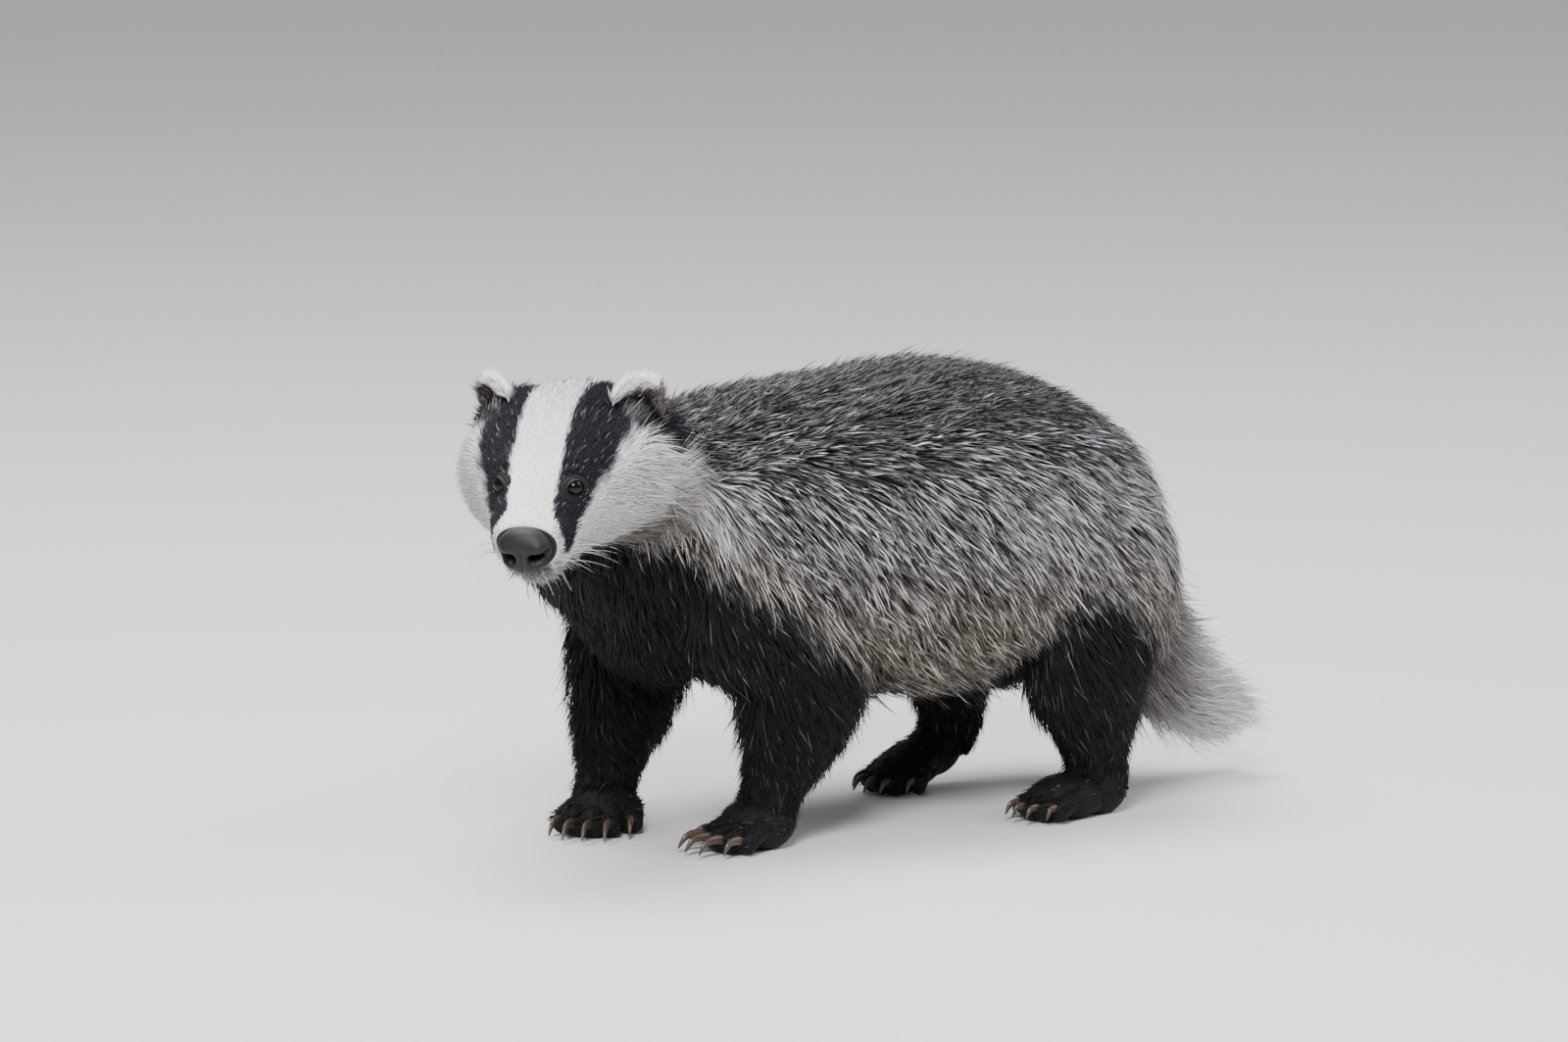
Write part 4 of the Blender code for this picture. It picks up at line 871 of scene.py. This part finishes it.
def coat_colours(points, steps, gloom=0.0):
    """A tuft's colour at each of its rings: the markings' colours, mixed by their shares.

    Grey tufts are dark at the root and pale at the tip; gloom raises the share of them that
    stay dark almost to the tip. A few black tufts end in a pale spark.
    """
    white, black, beige, tail, ear, back = (w[:, None] for w in markings(points))
    luck = DRAW.random((len(points), 3))
    t = np.asarray(steps)[None, :, None]
    local = head_places(points)
    face = ramp(beyond_head(local), 0.02, 0.01)[:, None]
    x, z = points[:, :1], points[:, 2:]
    tip = mix(GREY_TIP, BEIGE_TIP, beige) * (0.34 + 0.80 * luck[:, :1])
    tip = tip * (1 - 0.36 * ramp(x, 0.13, 0.21)) * (1 + 0.12 * back)
    warm = np.maximum(beige, 0.40 * ramp(z, 0.29, 0.20))
    dark = mix(DARK, BROWN, warm)
    fair = ramp(x, -0.06, 0.06) * ramp(x, 0.22, 0.17) * ramp(z, 0.32, 0.26) * (1 - beige)
    shared = clumps(points, 0.011)[1][:, None]
    dim = 0.53 + 0.54 * back - 0.06 * fair - 0.10 * ramp(x, -0.03, -0.12) + gloom
    gloomy = 0.5 * luck[:, 1:2] + 0.5 * shared < dim
    start = np.where(gloomy, 0.84, 0.20 + 0.38 * luck[:, 2:] + 0.28 * back - 0.08 * fair)[..., None]
    rise = ramp(t, start, start + 0.26)
    grey = mix(dark[:, None], tip[:, None], rise)
    # Painted shade between the strands: white hair is painted darker towards its root, most on the cheeks,
    # where it is also a little darker all along.
    cheek = ramp(turned(local), 50, 75)[:, None, None]
    shade = 0.82 - 0.50 * cheek
    pale = WHITE * (0.98 - 0.26 * cheek + (0.20 + 0.16 * cheek) * luck[:, None, :1])
    pale = pale * (shade + (1 - shade) * ramp(t, 0.0, 0.9))
    # Painted shade under the head: off the head, black hair at the throat is darker and has fewer pale
    # sparks.
    throat = ramp(x, -0.17, -0.24)
    inky = mix(BLACK, FACE_BLACK_SKY_TINTED, face) * (0.6 + 0.9 * luck[:, 1:2])
    inky = inky * (1 - 0.45 * throat * (1 - face))
    spark = (luck[:, 2:] > 0.968 - 0.012 * (1 - face)) * (0.6 + 0.4 * face)
    spark = spark[..., None] * ramp(t, 0.4, 1.0)
    # Fewer sparks at the throat, as part of its painted shade.
    spark = spark * (1 - 0.8 * throat * (1 - face))[..., None]
    inky = mix(inky[:, None] * (1 + 0.7 * t), 0.45, spark)
    bush = TAIL_HAIR * (0.7 + 0.4 * luck[:, None, :1]) * ramp(t, -0.4, 0.6)
    behind = ramp(x[:, None], 0.210, 0.265)
    bush = mix(grey * (1.18, 1.08, 1.05), bush, behind)
    lobe = EAR_BROWN * (0.6 + 0.9 * luck[:, None, :1]) * (1 + 9.0 * t * luck[:, None, 1:2] ** 2)
    share = [w[..., None] for w in (white, black, tail, ear)]
    rest = np.clip(1 - sum(share), 0, 1)
    mixed = pale * share[0] + inky * share[1] + bush * share[2] + lobe * share[3] + grey * rest
    return mixed / (sum(share) + rest)


# Tufts


def vertex_normals(points, tris):
    """Each point's normal: the sum of its triangles' area normals."""
    a, b, c = (points[tris[:, k]] for k in range(3))
    face = np.cross(b - a, c - a)
    normal = np.stack(
        [sum(np.bincount(tris[:, k], face[:, axis], len(points)) for k in range(3)) for axis in range(3)], 1
    )
    return unit(normal)


def way_on(points, tris, flow):
    """For each point the neighbour that lies most nearly along the flow."""
    pairs = np.concatenate([tris[:, [0, 1]], tris[:, [1, 2]], tris[:, [2, 0]]])
    pairs = np.concatenate([pairs, pairs[:, ::-1]])
    step = points[pairs[:, 1]] - points[pairs[:, 0]]
    score = dot(unit(step), flow[pairs[:, 0]])[:, 0]
    order = np.lexsort((score, pairs[:, 0]))
    pairs = pairs[order]
    last = np.append(pairs[1:, 0] != pairs[:-1, 0], True)
    after = np.arange(len(points))
    after[pairs[last, 0]] = pairs[last, 1]
    return after


class Skin:
    """Arrays of a skin: its points, triangles, normals and the lie of the hair on it."""

    def __init__(self, shape):
        """Takes a shape's points, quads and triangles; the quads are halved."""
        points, quads, tris = shape
        halves = [quads[:, [0, 1, 2]], quads[:, [0, 2, 3]], tris]
        self.points, self.tris = points, np.concatenate(halves)
        self.normals = vertex_normals(points, self.tris)
        self.flow = lie_of(points, self.normals)
        self.after = way_on(points, self.tris, self.flow)
        a, b, c = (points[self.tris[:, k]] for k in range(3))
        self.areas = np.linalg.norm(np.cross(b - a, c - a), axis=1) / 2
        self.spacing = math.sqrt(self.areas.mean() * 2)

    def scatter(self, count, keep):
        """Roots spread over the triangles by their area times keep(middles, normals).

        Gives each root's place, normal, lie and nearest point of the skin.
        """
        middle = self.points[self.tris].mean(1)
        weight = self.areas * keep(middle, self.normals[self.tris[:, 0]])
        chosen = DRAW.choice(len(self.tris), count, p=weight / weight.sum())
        share = np.sort(DRAW.random((count, 2)), axis=1)
        corner = self.tris[chosen]
        weights = np.stack([share[:, 0], share[:, 1] - share[:, 0], 1 - share[:, 1]], 1)[..., None]
        root = (self.points[corner] * weights).sum(1)
        normal = unit((self.normals[corner] * weights).sum(1))
        flow = (self.flow[corner] * weights).sum(1)
        return root, normal, unit(flow - normal * dot(flow, normal)), corner[:, 0]


def clumps(points, cell):
    """The cell each point falls in, and one even draw shared by all the points of a cell."""
    tint = np.floor(points / cell + wander(points, 0.06) * 0.5)
    return tint, np.modf(np.abs(np.sin(tint @ (12.9898, 78.233, 37.719)) * 43758.5453))[0]


def tufts(skin, roots, length, depth, width, steps, loose=0.0, pull=0.35, cell=0.011):
    """Three-sided tapering blades over the skin.

    Each ring's centre goes on along the lie, is brought back over the skin as far as it isn't
    loose, and is raised by the depth times a power of its share of the length; blades lean
    together by cells.
    """
    root, normal, flow, start = roots
    count = len(root)
    length = length * DRAW.uniform(0.72, 1.22, count)
    tangent = unit(flow + DRAW.normal(0, 0.13, (count, 3)))
    tangent = unit(tangent - normal * dot(tangent, normal))
    side = np.cross(normal, tangent)
    tint, _ = clumps(root, cell)
    stray = np.sin(tint @ np.array((12.9, 78.2, 37.7)) + [[0.1], [2.0], [4.0]]).T
    middle = (tint + 0.5) * cell + stray * cell * 0.3
    inwards = middle - root
    inwards = inwards - normal * dot(inwards, normal)
    bend = DRAW.normal(0, 0.10, (count, 1)) * length[:, None]
    high = depth * DRAW.uniform(0.30, 1.25, count) * np.where(DRAW.random(count) < 0.07, 1.6, 1.0)
    centre, here, before, out = root, start, 0.0, normal
    rings = []
    for t in steps:
        advance = length * (t - before)
        hops = int(round(float(np.mean(advance)) / skin.spacing)) if t > before else 0
        for _ in range(hops):
            here = skin.after[here]
        if hops:
            way = skin.flow[here]
            way = unit(0.55 * way * (1 - loose) + (0.45 + 0.55 * loose) * tangent)
            centre = centre + way * advance[:, None]
            local = skin.normals[here]
            height = dot(centre - skin.points[here], local)
            centre = centre - local * np.clip(height, -0.03, 0.03) * (1 - loose)
            out = unit((0.5 + 0.5 * loose) * out + 0.5 * (1 - loose) * local)
        raised = -0.0012 + (high + 0.0012) * t**0.75
        rings.append((centre + out * raised[:, None] + side * bend * t * t + inwards * pull * t**1.5, out))
        before = t
    taper = np.interp(steps, (0, 0.25, 0.7, 1), (0.66, 1.0, 0.86, 0.0))
    half = (width * DRAW.uniform(0.75, 1.25, count))[:, None] * taper / 2
    return blades(np.stack([r for r, _ in rings], 1), np.stack([o for _, o in rings], 1), half)


def blades(points, outs, half):
    """Closed three-sided blades along lines of points, each ending in a point."""
    along = unit(np.gradient(points, axis=1))
    across = unit(np.cross(outs, along)) * half[..., None]
    deep = np.cross(along, across) * 0.75
    grid = points[:, :-1, None] + np.stack([t[:, :-1] for t in (across, -across, deep)], 2)
    count, rings = grid.shape[:2]
    each = rings * 3 + 1
    verts = np.concatenate([grid.reshape(count, -1, 3), points[:, -1:]], 1)
    low = np.arange(rings - 1)[:, None] * 3
    i, j = np.array((0, 1, 2)), np.array((1, 2, 0))
    quads = np.stack([low + i, low + j, low + j + 3, low + i + 3], -1).reshape(-1, 4)
    top = rings * 3 - 3
    caps = np.concatenate([[[0, 2, 1]], np.stack([top + i, top + j, 0 * i + each - 1], 1)])
    start = (np.arange(count) * each)[:, None, None]
    return verts.reshape(-1, 3), (quads[None] + start).reshape(-1, 4), (caps[None] + start).reshape(-1, 3)


def coloured(obj, colours):
    """Stores a colour for each point of the mesh."""
    rgba = np.concatenate([colours, np.ones((len(colours), 1))], 1).astype(np.float32)
    obj.data.attributes.new("coat", "FLOAT_COLOR", "POINT").data.foreach_set("color", rgba.ravel())


def coat_piece(name, skin, roots, sizes, width, steps, unwrap, material, slot, gloom=0.0, **more):
    """One piece of coat as a closed mesh, coloured along each tuft and with its own unwrap."""
    verts, quads, tris = tufts(skin, roots, *sizes, width, steps, **more)
    verts[:, 2] = np.maximum(verts[:, 2], HAIR_FLOOR)
    obj = placed(name, (verts, quads, tris))
    colours = coat_colours(roots[0], steps, gloom)
    coloured(obj, np.concatenate([np.repeat(colours[:, :-1], 3, axis=1), colours[:, -1:]], 1).reshape(-1, 3))
    place = unwrap(roots[0])
    low, high = place.min(0), place.max(0)
    place = 0.004 + 0.988 * (place - low) / (high - low)
    rows = np.append(np.repeat(np.asarray(steps[:-1]), 3), 1.0)
    columns = np.append(np.tile((0.0, 0.5, 1.0), len(steps) - 1), 0.5)
    patch = np.stack([rows, columns], 1) * 0.003 - 0.0015
    uv = (place[:, None] + patch[None]).reshape(-1, 2)
    corner = np.empty(len(obj.data.loops), np.int32)
    obj.data.loops.foreach_get("vertex_index", corner)
    obj.data.uv_layers.new(name="OFBake").data.foreach_set("uv", uv[corner].astype(np.float32).ravel())
    obj.data.materials.append(material)
    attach(obj, "root")


def bristles(name, places, ways, lengths, sag, width, material):
    """Single stiff hairs: thin blades that bend down by the square of the way along."""
    t = np.linspace(0, 1, 9)[None, :, None]
    reach = lengths[:, None, None]
    points = places[:, None] + ways[:, None] * reach * t - np.array((0, 0, 1.0)) * sag * reach * t**2
    outs = np.repeat(unit(np.cross(ways, (0, 0, 1.0)))[:, None], 9, axis=1)
    half = np.full((len(places), 1), width / 2) * (1 - 0.8 * t[..., 0])
    settle(placed(name, blades(points, outs, half)), material, "coat_white")


def barrel(points):
    """The trunk unrolled about its axis: the turn about it, and the distance along it."""
    _, axis = trunk_way(points)
    turn = np.arctan2(points[:, 1] - axis[:, 0], points[:, 2] - axis[:, 1])
    return np.stack([turn / (2 * math.pi), points[:, 0]], 1)


def face_roll(points):
    """The head unrolled about its own axis."""
    local = head_places(points)
    return np.stack([np.arctan2(local[:, 1], local[:, 2]) / (2 * math.pi), local[:, 0]], 1)


def leg_roll(points):
    """The legs unrolled, each about its own upright axis, side by side."""
    centre = np.stack([np.where(points[:, 0] < 0, -0.15, 0.125), np.sign(points[:, 1]) * 0.07], 1)
    turn = np.arctan2(points[:, 1] - centre[:, 1], points[:, 0] - centre[:, 0]) / (2 * math.pi)
    sheet = (points[:, 0] > 0) * 2 + (points[:, 1] > 0)
    return np.stack([turn + sheet * 1.05, points[:, 2]], 1)


# Materials


def principled(name, colour, roughness, **more):
    """A material of one shader with these values, its node tree and its shader."""
    made = bpy.data.materials.new(name)
    made.use_nodes = True
    shader = made.node_tree.nodes["Principled BSDF"]
    shader.inputs["Base Color"].default_value = (*colour, 1.0)
    shader.inputs["Roughness"].default_value = roughness
    for socket, value in more.items():
        shader.inputs[socket.replace("_", " ")].default_value = value
    return made, made.node_tree, shader


def node(tree, kind, **values):
    """A node with these input values, given by socket name."""
    made = tree.nodes.new(kind)
    for socket, value in values.items():
        made.inputs[socket].default_value = value
    return made


def roughened(tree, shader, scale, strength, distance):
    """A noise bump over the material."""
    place = tree.nodes.new("ShaderNodeTexCoord")
    noise = node(tree, "ShaderNodeTexNoise", Scale=scale, Detail=4.0)
    bump = node(tree, "ShaderNodeBump", Strength=strength, Distance=distance)
    tree.links.new(place.outputs["Object"], noise.inputs["Vector"])
    tree.links.new(noise.outputs["Fac"], bump.inputs["Height"])
    tree.links.new(bump.outputs["Normal"], shader.inputs["Normal"])


def painted(name, colour, roughness, specular, *grain):
    """A material coloured by the mesh's coat attribute, with a noise bump where grain is given."""
    made, tree, shader = principled(name, colour, roughness, Specular_IOR_Level=specular)
    tint = tree.nodes.new("ShaderNodeAttribute")
    tint.attribute_name = "coat"
    tree.links.new(tint.outputs["Color"], shader.inputs["Base Color"])
    if grain:
        roughened(tree, shader, *grain)
    return made


def settle(obj, material, slot, *nodes):
    """Gives a piece its material and body, and hides the parts of the model that it replaces; slot is not
    used.
    """
    obj.data.materials.append(material)
    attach(obj, "root")
    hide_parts(*nodes)


# Building it all


def build_skin():
    """The body melted in one, the paws, the head and the ears.

    Gives them once as skins for hair to grow on, and once as the shapes of the body with its
    paws and of the head with its ears.
    """
    trunk = np.array(TRUNK)
    trunk[:, 6] *= FLAT_LIE
    shapes = [loft(trunk, 120, 90), ball(*CHEST)]
    for centre, radii, coat in (SHOULDER, THIGH):
        shapes += [ball(mirrored(centre, side), radii, coat * FLAT_LIE) for side in (-1, 1)]
    shapes += [loft(rows, 60, 60, up=(-1, 0, 0)) for rows in LEGS.values()]
    shapes.append(loft(TAIL, 40, 40))
    body = melted(shapes, BODY_VOXEL, 10)
    paws = [paw_skin(name) for name in PAWS]
    head = head_skin()
    ears = [ear_shape(side) for side in (1, -1)]
    skins = Skin(body), [Skin(paw) for paw in paws], Skin(head), [Skin(ear) for ear in ears]
    return skins, (body, *paws), (head, *ears)


def skin_tone_and_shade(points):
    """The coat's markings, darker, as the skin's own colours, with painted shade under the hair of the
    cheeks.
    """
    white, black, beige, tail, ear, _ = (w[:, None] for w in markings(points))
    local = head_places(points)
    cheek = cheek_share(local)[:, None]
    # Under the cheeks' hair the white skin is painted darker: painted shade between the strands.
    colour = mix(DARK * 1.6, WHITE * (0.80 - 0.5 * cheek), white)
    colour = mix(colour, BLACK, black) + BROWN * beige * 0.5
    colour = mix(mix(colour, TAIL_SKIN, tail), EAR_SKIN, ear)
    by_nose = ramp(local[:, 0], 0.1418, 0.1432)
    by_mouth = ramp(np.abs(mouth_gap(local)), 0.0022, 0.0008)
    return mix(colour, LIP_SKIN, np.maximum(by_nose, by_mouth)[:, None])


def body_keep(region):
    """Which parts of the body's skin carry a region's roots: the legs, the tail or a quarter."""

    def keep(points, normals):
        """About 1 on the region and next to nothing off it."""
        local = head_places(points)
        off_head = np.clip(ramp(local[:, 0], 0.010, -0.012) + (beyond_head(local) > 0.002), 0, 1)
        leg = leg_share(points) * (points[:, 2] < 0.16)
        tail, _ = tail_share(points)
        if region == "legs":
            return off_head * (leg > 0.5) * (points[:, 2] > 0.03) + 1e-9
        if region == "tail":
            return (tail > 0.5) + 1e-9
        rest = off_head * (leg <= 0.5) * (tail <= 0.5) * (points[:, 2] > 0.05)
        front = (points[:, 0] < 0.02) == (region[0] == "f")
        right = (points[:, 1] > 0) == (region[1] == "r")
        return rest * (front & right) + 1e-9

    return keep


def paw_keep(points, normals):
    """Paws carry hair above the sole, and not on what faces down."""
    return (points[:, 2] > 0.006) * (normals[:, 2] > -0.3) + 1e-9


def ear_keep(points, normals):
    """Ears carry hair all over, and little in the hollow of the cup."""
    local = head_places(points)
    _, _, out, high = ear_places(local)
    inner = dot(normals @ HEAD_AXES.T * folding(local), ear_axes(1)[0])[:, 0] > 0.1
    hollow = inner * ramp(np.hypot(out - 0.004, high - 0.012), 0.013, 0.008)
    return 1 - 0.85 * hollow


def head_keep(points, normals):
    """The head's hair is denser towards the nose, and leaves out the lids, mouth, nose and neck."""
    local = head_places(points)
    dense = np.interp(local[:, 0], (-0.01, 0.03, 0.10, 0.145), (1.6, 1.2, 2.2, 3.4))
    clear = (gap_to(EYE_SPOT, local) > 0.0070) * (np.abs(mouth_gap(local)) > 0.0011)
    within = (local[:, 0] < 0.1435) * (local[:, 0] > -0.014)
    return dense * clear * within + 1e-9


def head_loose(points):
    """How far the head's hair stands off the skin: at its back and cheeks, less on the right."""
    local = head_places(points)
    loose = np.maximum(ramp(local[:, 0], 0.060, 0.020), 0.92 * cheek_share(local))
    return (loose * np.where(local[:, 1] > 0, 1.0, 0.4))[:, None]


def fur(body, paws, head, ears):
    """The whole coat, piece by piece."""
    hair = painted("coat_hair", (0.5, 0.5, 0.5), 0.58, 0.20)
    density = 1.0

    def grow(name, kind, skin, keep, unwrap, slot, rings=THREE_RINGS, **more):
        """One piece of coat of this kind: its roots scattered, measured and grown."""
        count, width = TUFTS[kind]
        roots = skin.scatter(int(count * density), keep)
        length, depth = coat_sizes(roots[0], kind)
        if kind in ("under", "tips"):
            short = DRAW.choice((0.7, 1.0), len(length))
            length, depth = length * short, depth * short
        if kind == "head":
            more["loose"] = head_loose(roots[0])
        coat_piece(name, skin, roots, (length, depth), width, rings, unwrap, hair, slot, **more)

    for region in ("fl", "fr", "bl", "br"):
        for kind, rings, gloom in LAYERS:
            name = f"coat_{kind}_{region}"
            grow(name, kind, body, body_keep(region), barrel, "coat_grey", rings, gloom=gloom)
    grow("coat_legs", "legs", body, body_keep("legs"), leg_roll, "coat_black")
    grow("coat_tail", "tail", body, body_keep("tail"), barrel, "coat_grey")
    for skin, paw in zip(paws, PAWS):
        grow(f"coat_{paw}", "paw", skin, paw_keep, leg_roll, "coat_black", pull=0.1, cell=0.006)
    for skin, side in zip(ears, ("left", "right")):
        name = f"coat_ear_{side}"
        grow(name, "ear", skin, ear_keep, face_roll, "coat_black", loose=0.7, pull=0.1, cell=0.005)
    for part in (0, 1):
        name = f"coat_head_{part}"
        grow(name, "head", head, head_keep, face_roll, "coat_white", pull=0.10, cell=0.006)


def whiskers(name, count, material):
    """Long hairs of the lips: places on an ellipse about the muzzle, ways out, back and down."""
    side = np.where(np.arange(2 * count) % 2 == 0, 1.0, -1.0)
    luck = DRAW.random((2 * count, 4))
    ahead = 0.112 + 0.030 * luck[:, 0]
    low = -0.006 - 0.018 * luck[:, 1]
    wide = np.interp(ahead, (0.11, 0.13, 0.144), (0.034, 0.026, 0.020))
    wide = wide * np.sqrt(np.maximum(1 - (low / 0.03) ** 2, 0))
    local = np.stack([ahead, wide * side, low], 1)
    back, out, down = -0.55 - 0.5 * luck[:, 2], side * (0.75 + 0.3 * luck[:, 3]), -0.45 + 0.5 * luck[:, 2]
    ways = unit(np.stack([back, out, down], 1) @ HEAD_AXES)
    bristles(name, in_head(local), ways, 0.022 + 0.026 * luck[:, 3], 0.30, 0.00040, material)


def ear_wisps(material):
    """Thin hairs on the tops of the ears, fanned out across each."""
    luck = DRAW.random((20, 3))
    side = np.where(luck[:, 0] > 0.5, 1.0, -1.0)
    lean = luck[:, 1] - 0.5
    frames = np.array([ear_axes(1), mirrored(np.ones(3), -1) * ear_axes(1)])[(side < 0).astype(int)]
    root = np.stack([-0.003 + 0 * lean, 0.026 * lean, 0.85 * EAR_HEIGHT + 0 * lean], 1)
    stand = np.stack([-0.35 + 0.7 * luck[:, 2], 1.1 * lean, 1 + 0 * lean], 1)
    tops = np.array([mirrored(EAR_SPOT, s) for s in side]) + np.einsum("nk,nkj->nj", root, frames)
    ways = unit(np.einsum("nk,nkj->nj", stand, frames) @ HEAD_AXES)
    bristles("ear_wisps", in_head(tops), ways, 0.010 + 0.008 * luck[:, 0], 0.1, 0.00035, material)


def chin_hairs(material):
    """Thin hairs that hang from the chin."""
    luck = DRAW.random((26, 3))
    side = np.where(luck[:, 0] > 0.5, 1.0, -1.0)
    low = -0.0285 + 0.006 * luck[:, 1]
    local = np.stack([0.105 + 0.035 * luck[:, 1], side * 0.012 * luck[:, 2], low], 1)
    ways = np.stack([-0.3 + 0.2 * luck[:, 0], side * 0.4 * luck[:, 2], -0.9 + 0 * side], 1)
    ways = unit(ways @ HEAD_AXES)
    bristles("chin_hairs", in_head(local), ways, 0.012 + 0.016 * luck[:, 2], 0.1, 0.0004, material)


def nose_and_eyes(face, bare):
    """The nose pad, and each eyeball within its lids."""
    leather = painted("nose_leather", (0.03, 0.03, 0.03), 0.40, 0.28, 1400.0, 0.55, 0.0006)
    shape, dark = nose_shape()
    nose = placed("nose_pad", shape)
    # The nostrils' hollows are painted darker: painted shade.
    coloured(nose, NOSE_COLOUR * (1 - 0.97 * dark[:, None]))
    settle(nose, leather, "nose_skin", "nose")
    gloss, _, _ = principled("eye_gloss", (0.002, 0.0015, 0.0015), 0.03, Specular_IOR_Level=0.25)
    for side, name in ((1, "left"), (-1, "right")):
        centre = in_head([mirrored(EYE_SPOT, side)])[0]
        eyeball = placed(f"eyeball_{name}", ball(centre, [EYE_RADIUS] * 3, rings=40, sides=64))
        settle(eyeball, gloss, "eye_dark", f"eye_{name}")
        shape, rim = lid_shape(side, face)
        lids = placed(f"lids_{name}", shape)
        coloured(lids, LID_COLOUR + LID_RIM * rim[:, None])
        settle(lids, bare, "coat_black")


def main():
    """The skin, the coat, the stiff hairs, the nose, the eyes and the claws."""
    (body, paws, head, ears), with_paws, with_ears = build_skin()
    bare = painted("skin", (0.05, 0.045, 0.045), 0.7, 0.2, 900.0, 0.5, 0.0008)
    flesh = [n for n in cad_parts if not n.startswith(("claw", "eye", "nose"))]
    of_head = [n for n in flesh if n.startswith(("head", "jaw", "ear"))]
    of_body = [n for n in flesh if n not in of_head]
    for name, part, slot, nodes in (
        ("skin_body", with_paws, "coat_grey", of_body),
        ("skin_head", with_ears, "coat_white", of_head),
    ):
        shape = joined(part)
        skin = placed(name, shape)
        coloured(skin, skin_tone_and_shade(shape[0]))
        settle(skin, bare, slot, *nodes)
    fur(body, paws, head, ears)
    pale, _, _ = principled("pale_whisker", (0.75, 0.70, 0.62), 0.4)
    dusky, _, _ = principled("dark_whisker", (0.03, 0.025, 0.022), 0.4)
    whiskers("whiskers_pale", 9, pale)
    whiskers("whiskers_dark", 7, dusky)
    ear_wisps(pale)
    chin_hairs(pale)
    nose_and_eyes(head.points, bare)
    horn, _, _ = principled("claw_horn", (0.060, 0.042, 0.031), 0.30)
    for paw in PAWS:
        for number in range(5):
            name = f"{paw}_{number + 1}"
            settle(placed(f"horn_{name}", claw_shape(paw, number)), horn, "claw_horn", f"claw_{name}")


# The camera: its turn and height in degrees, its distance, its lens in mm, and in pixels of the
# photograph how far the plan's origin lies from the middle of the frame, right and down.
VIEW_TURN = -30.0
VIEW_RISE = 9.0
VIEW_DISTANCE = 7.0
VIEW_LENS = 220.5
PIXELS_PER_METRE = 1400
ORIGIN_RIGHT = 90
ORIGIN_DOWN = 298.5


def photo_view():
    """The camera seven metres off, a little above the animal, at its left front."""
    azimuth, rise = math.radians(VIEW_TURN), math.radians(VIEW_RISE)
    out = Vector((math.sin(azimuth) * math.cos(rise), -math.cos(azimuth) * math.cos(rise), math.sin(rise)))
    right = Vector((math.cos(azimuth), math.sin(azimuth), 0.0))
    up = out.cross(right)
    camera = bpy.data.objects.new("camera", bpy.data.cameras.new("camera"))
    bpy.context.scene.collection.objects.link(camera)
    bpy.context.scene.camera = camera
    camera.data.sensor_width = 36.0
    camera.data.lens = VIEW_LENS
    target = Vector(PLAN_SHIFT) - right * (ORIGIN_RIGHT / PIXELS_PER_METRE)
    target = target + up * (ORIGIN_DOWN / PIXELS_PER_METRE)
    axes = Matrix((right, up, out)).transposed().to_4x4()
    camera.matrix_world = Matrix.Translation(target + out * VIEW_DISTANCE) @ axes


# Square lamps, which all face the animal: place, size, power.
LAMPS = (
    ((-1.8, -2.4, 2.6), 1.1, 170),
    ((2.2, -1.4, 2.4), 2.0, 45),
    ((-0.4, 0.6, 3.2), 2.0, 155),
)


def studio():
    """A pale floor, soft light from above and in front, and a pale surround."""
    corners = np.array([(-6, -6, 0), (6, -6, 0), (6, 6, 0), (-6, 6, 0)], float)
    floor = new_object("floor", (corners, np.array([[0, 1, 2, 3]]), NO_TRIS))
    paint, _, _ = principled("floor_paint", (0.74, 0.74, 0.73), 0.9)
    floor.data.materials.append(paint)
    for place, size, power in LAMPS:
        lamp = bpy.data.objects.new("lamp", bpy.data.lights.new("lamp", "AREA"))
        lamp.data.size = size
        lamp.data.energy = power
        lamp.location = place
        lamp.rotation_euler = (Vector((0, 0, 0.15)) - Vector(place)).to_track_quat("-Z", "Y").to_euler()
        bpy.context.scene.collection.objects.link(lamp)
    world = bpy.data.worlds.new("surround")
    world.use_nodes = True
    surround = world.node_tree.nodes["Background"]
    surround.inputs["Color"].default_value = (0.80, 0.83, 0.86, 1.0)
    surround.inputs["Strength"].default_value = 0.55
    bpy.context.scene.world = world


main()
photo_view()
studio()
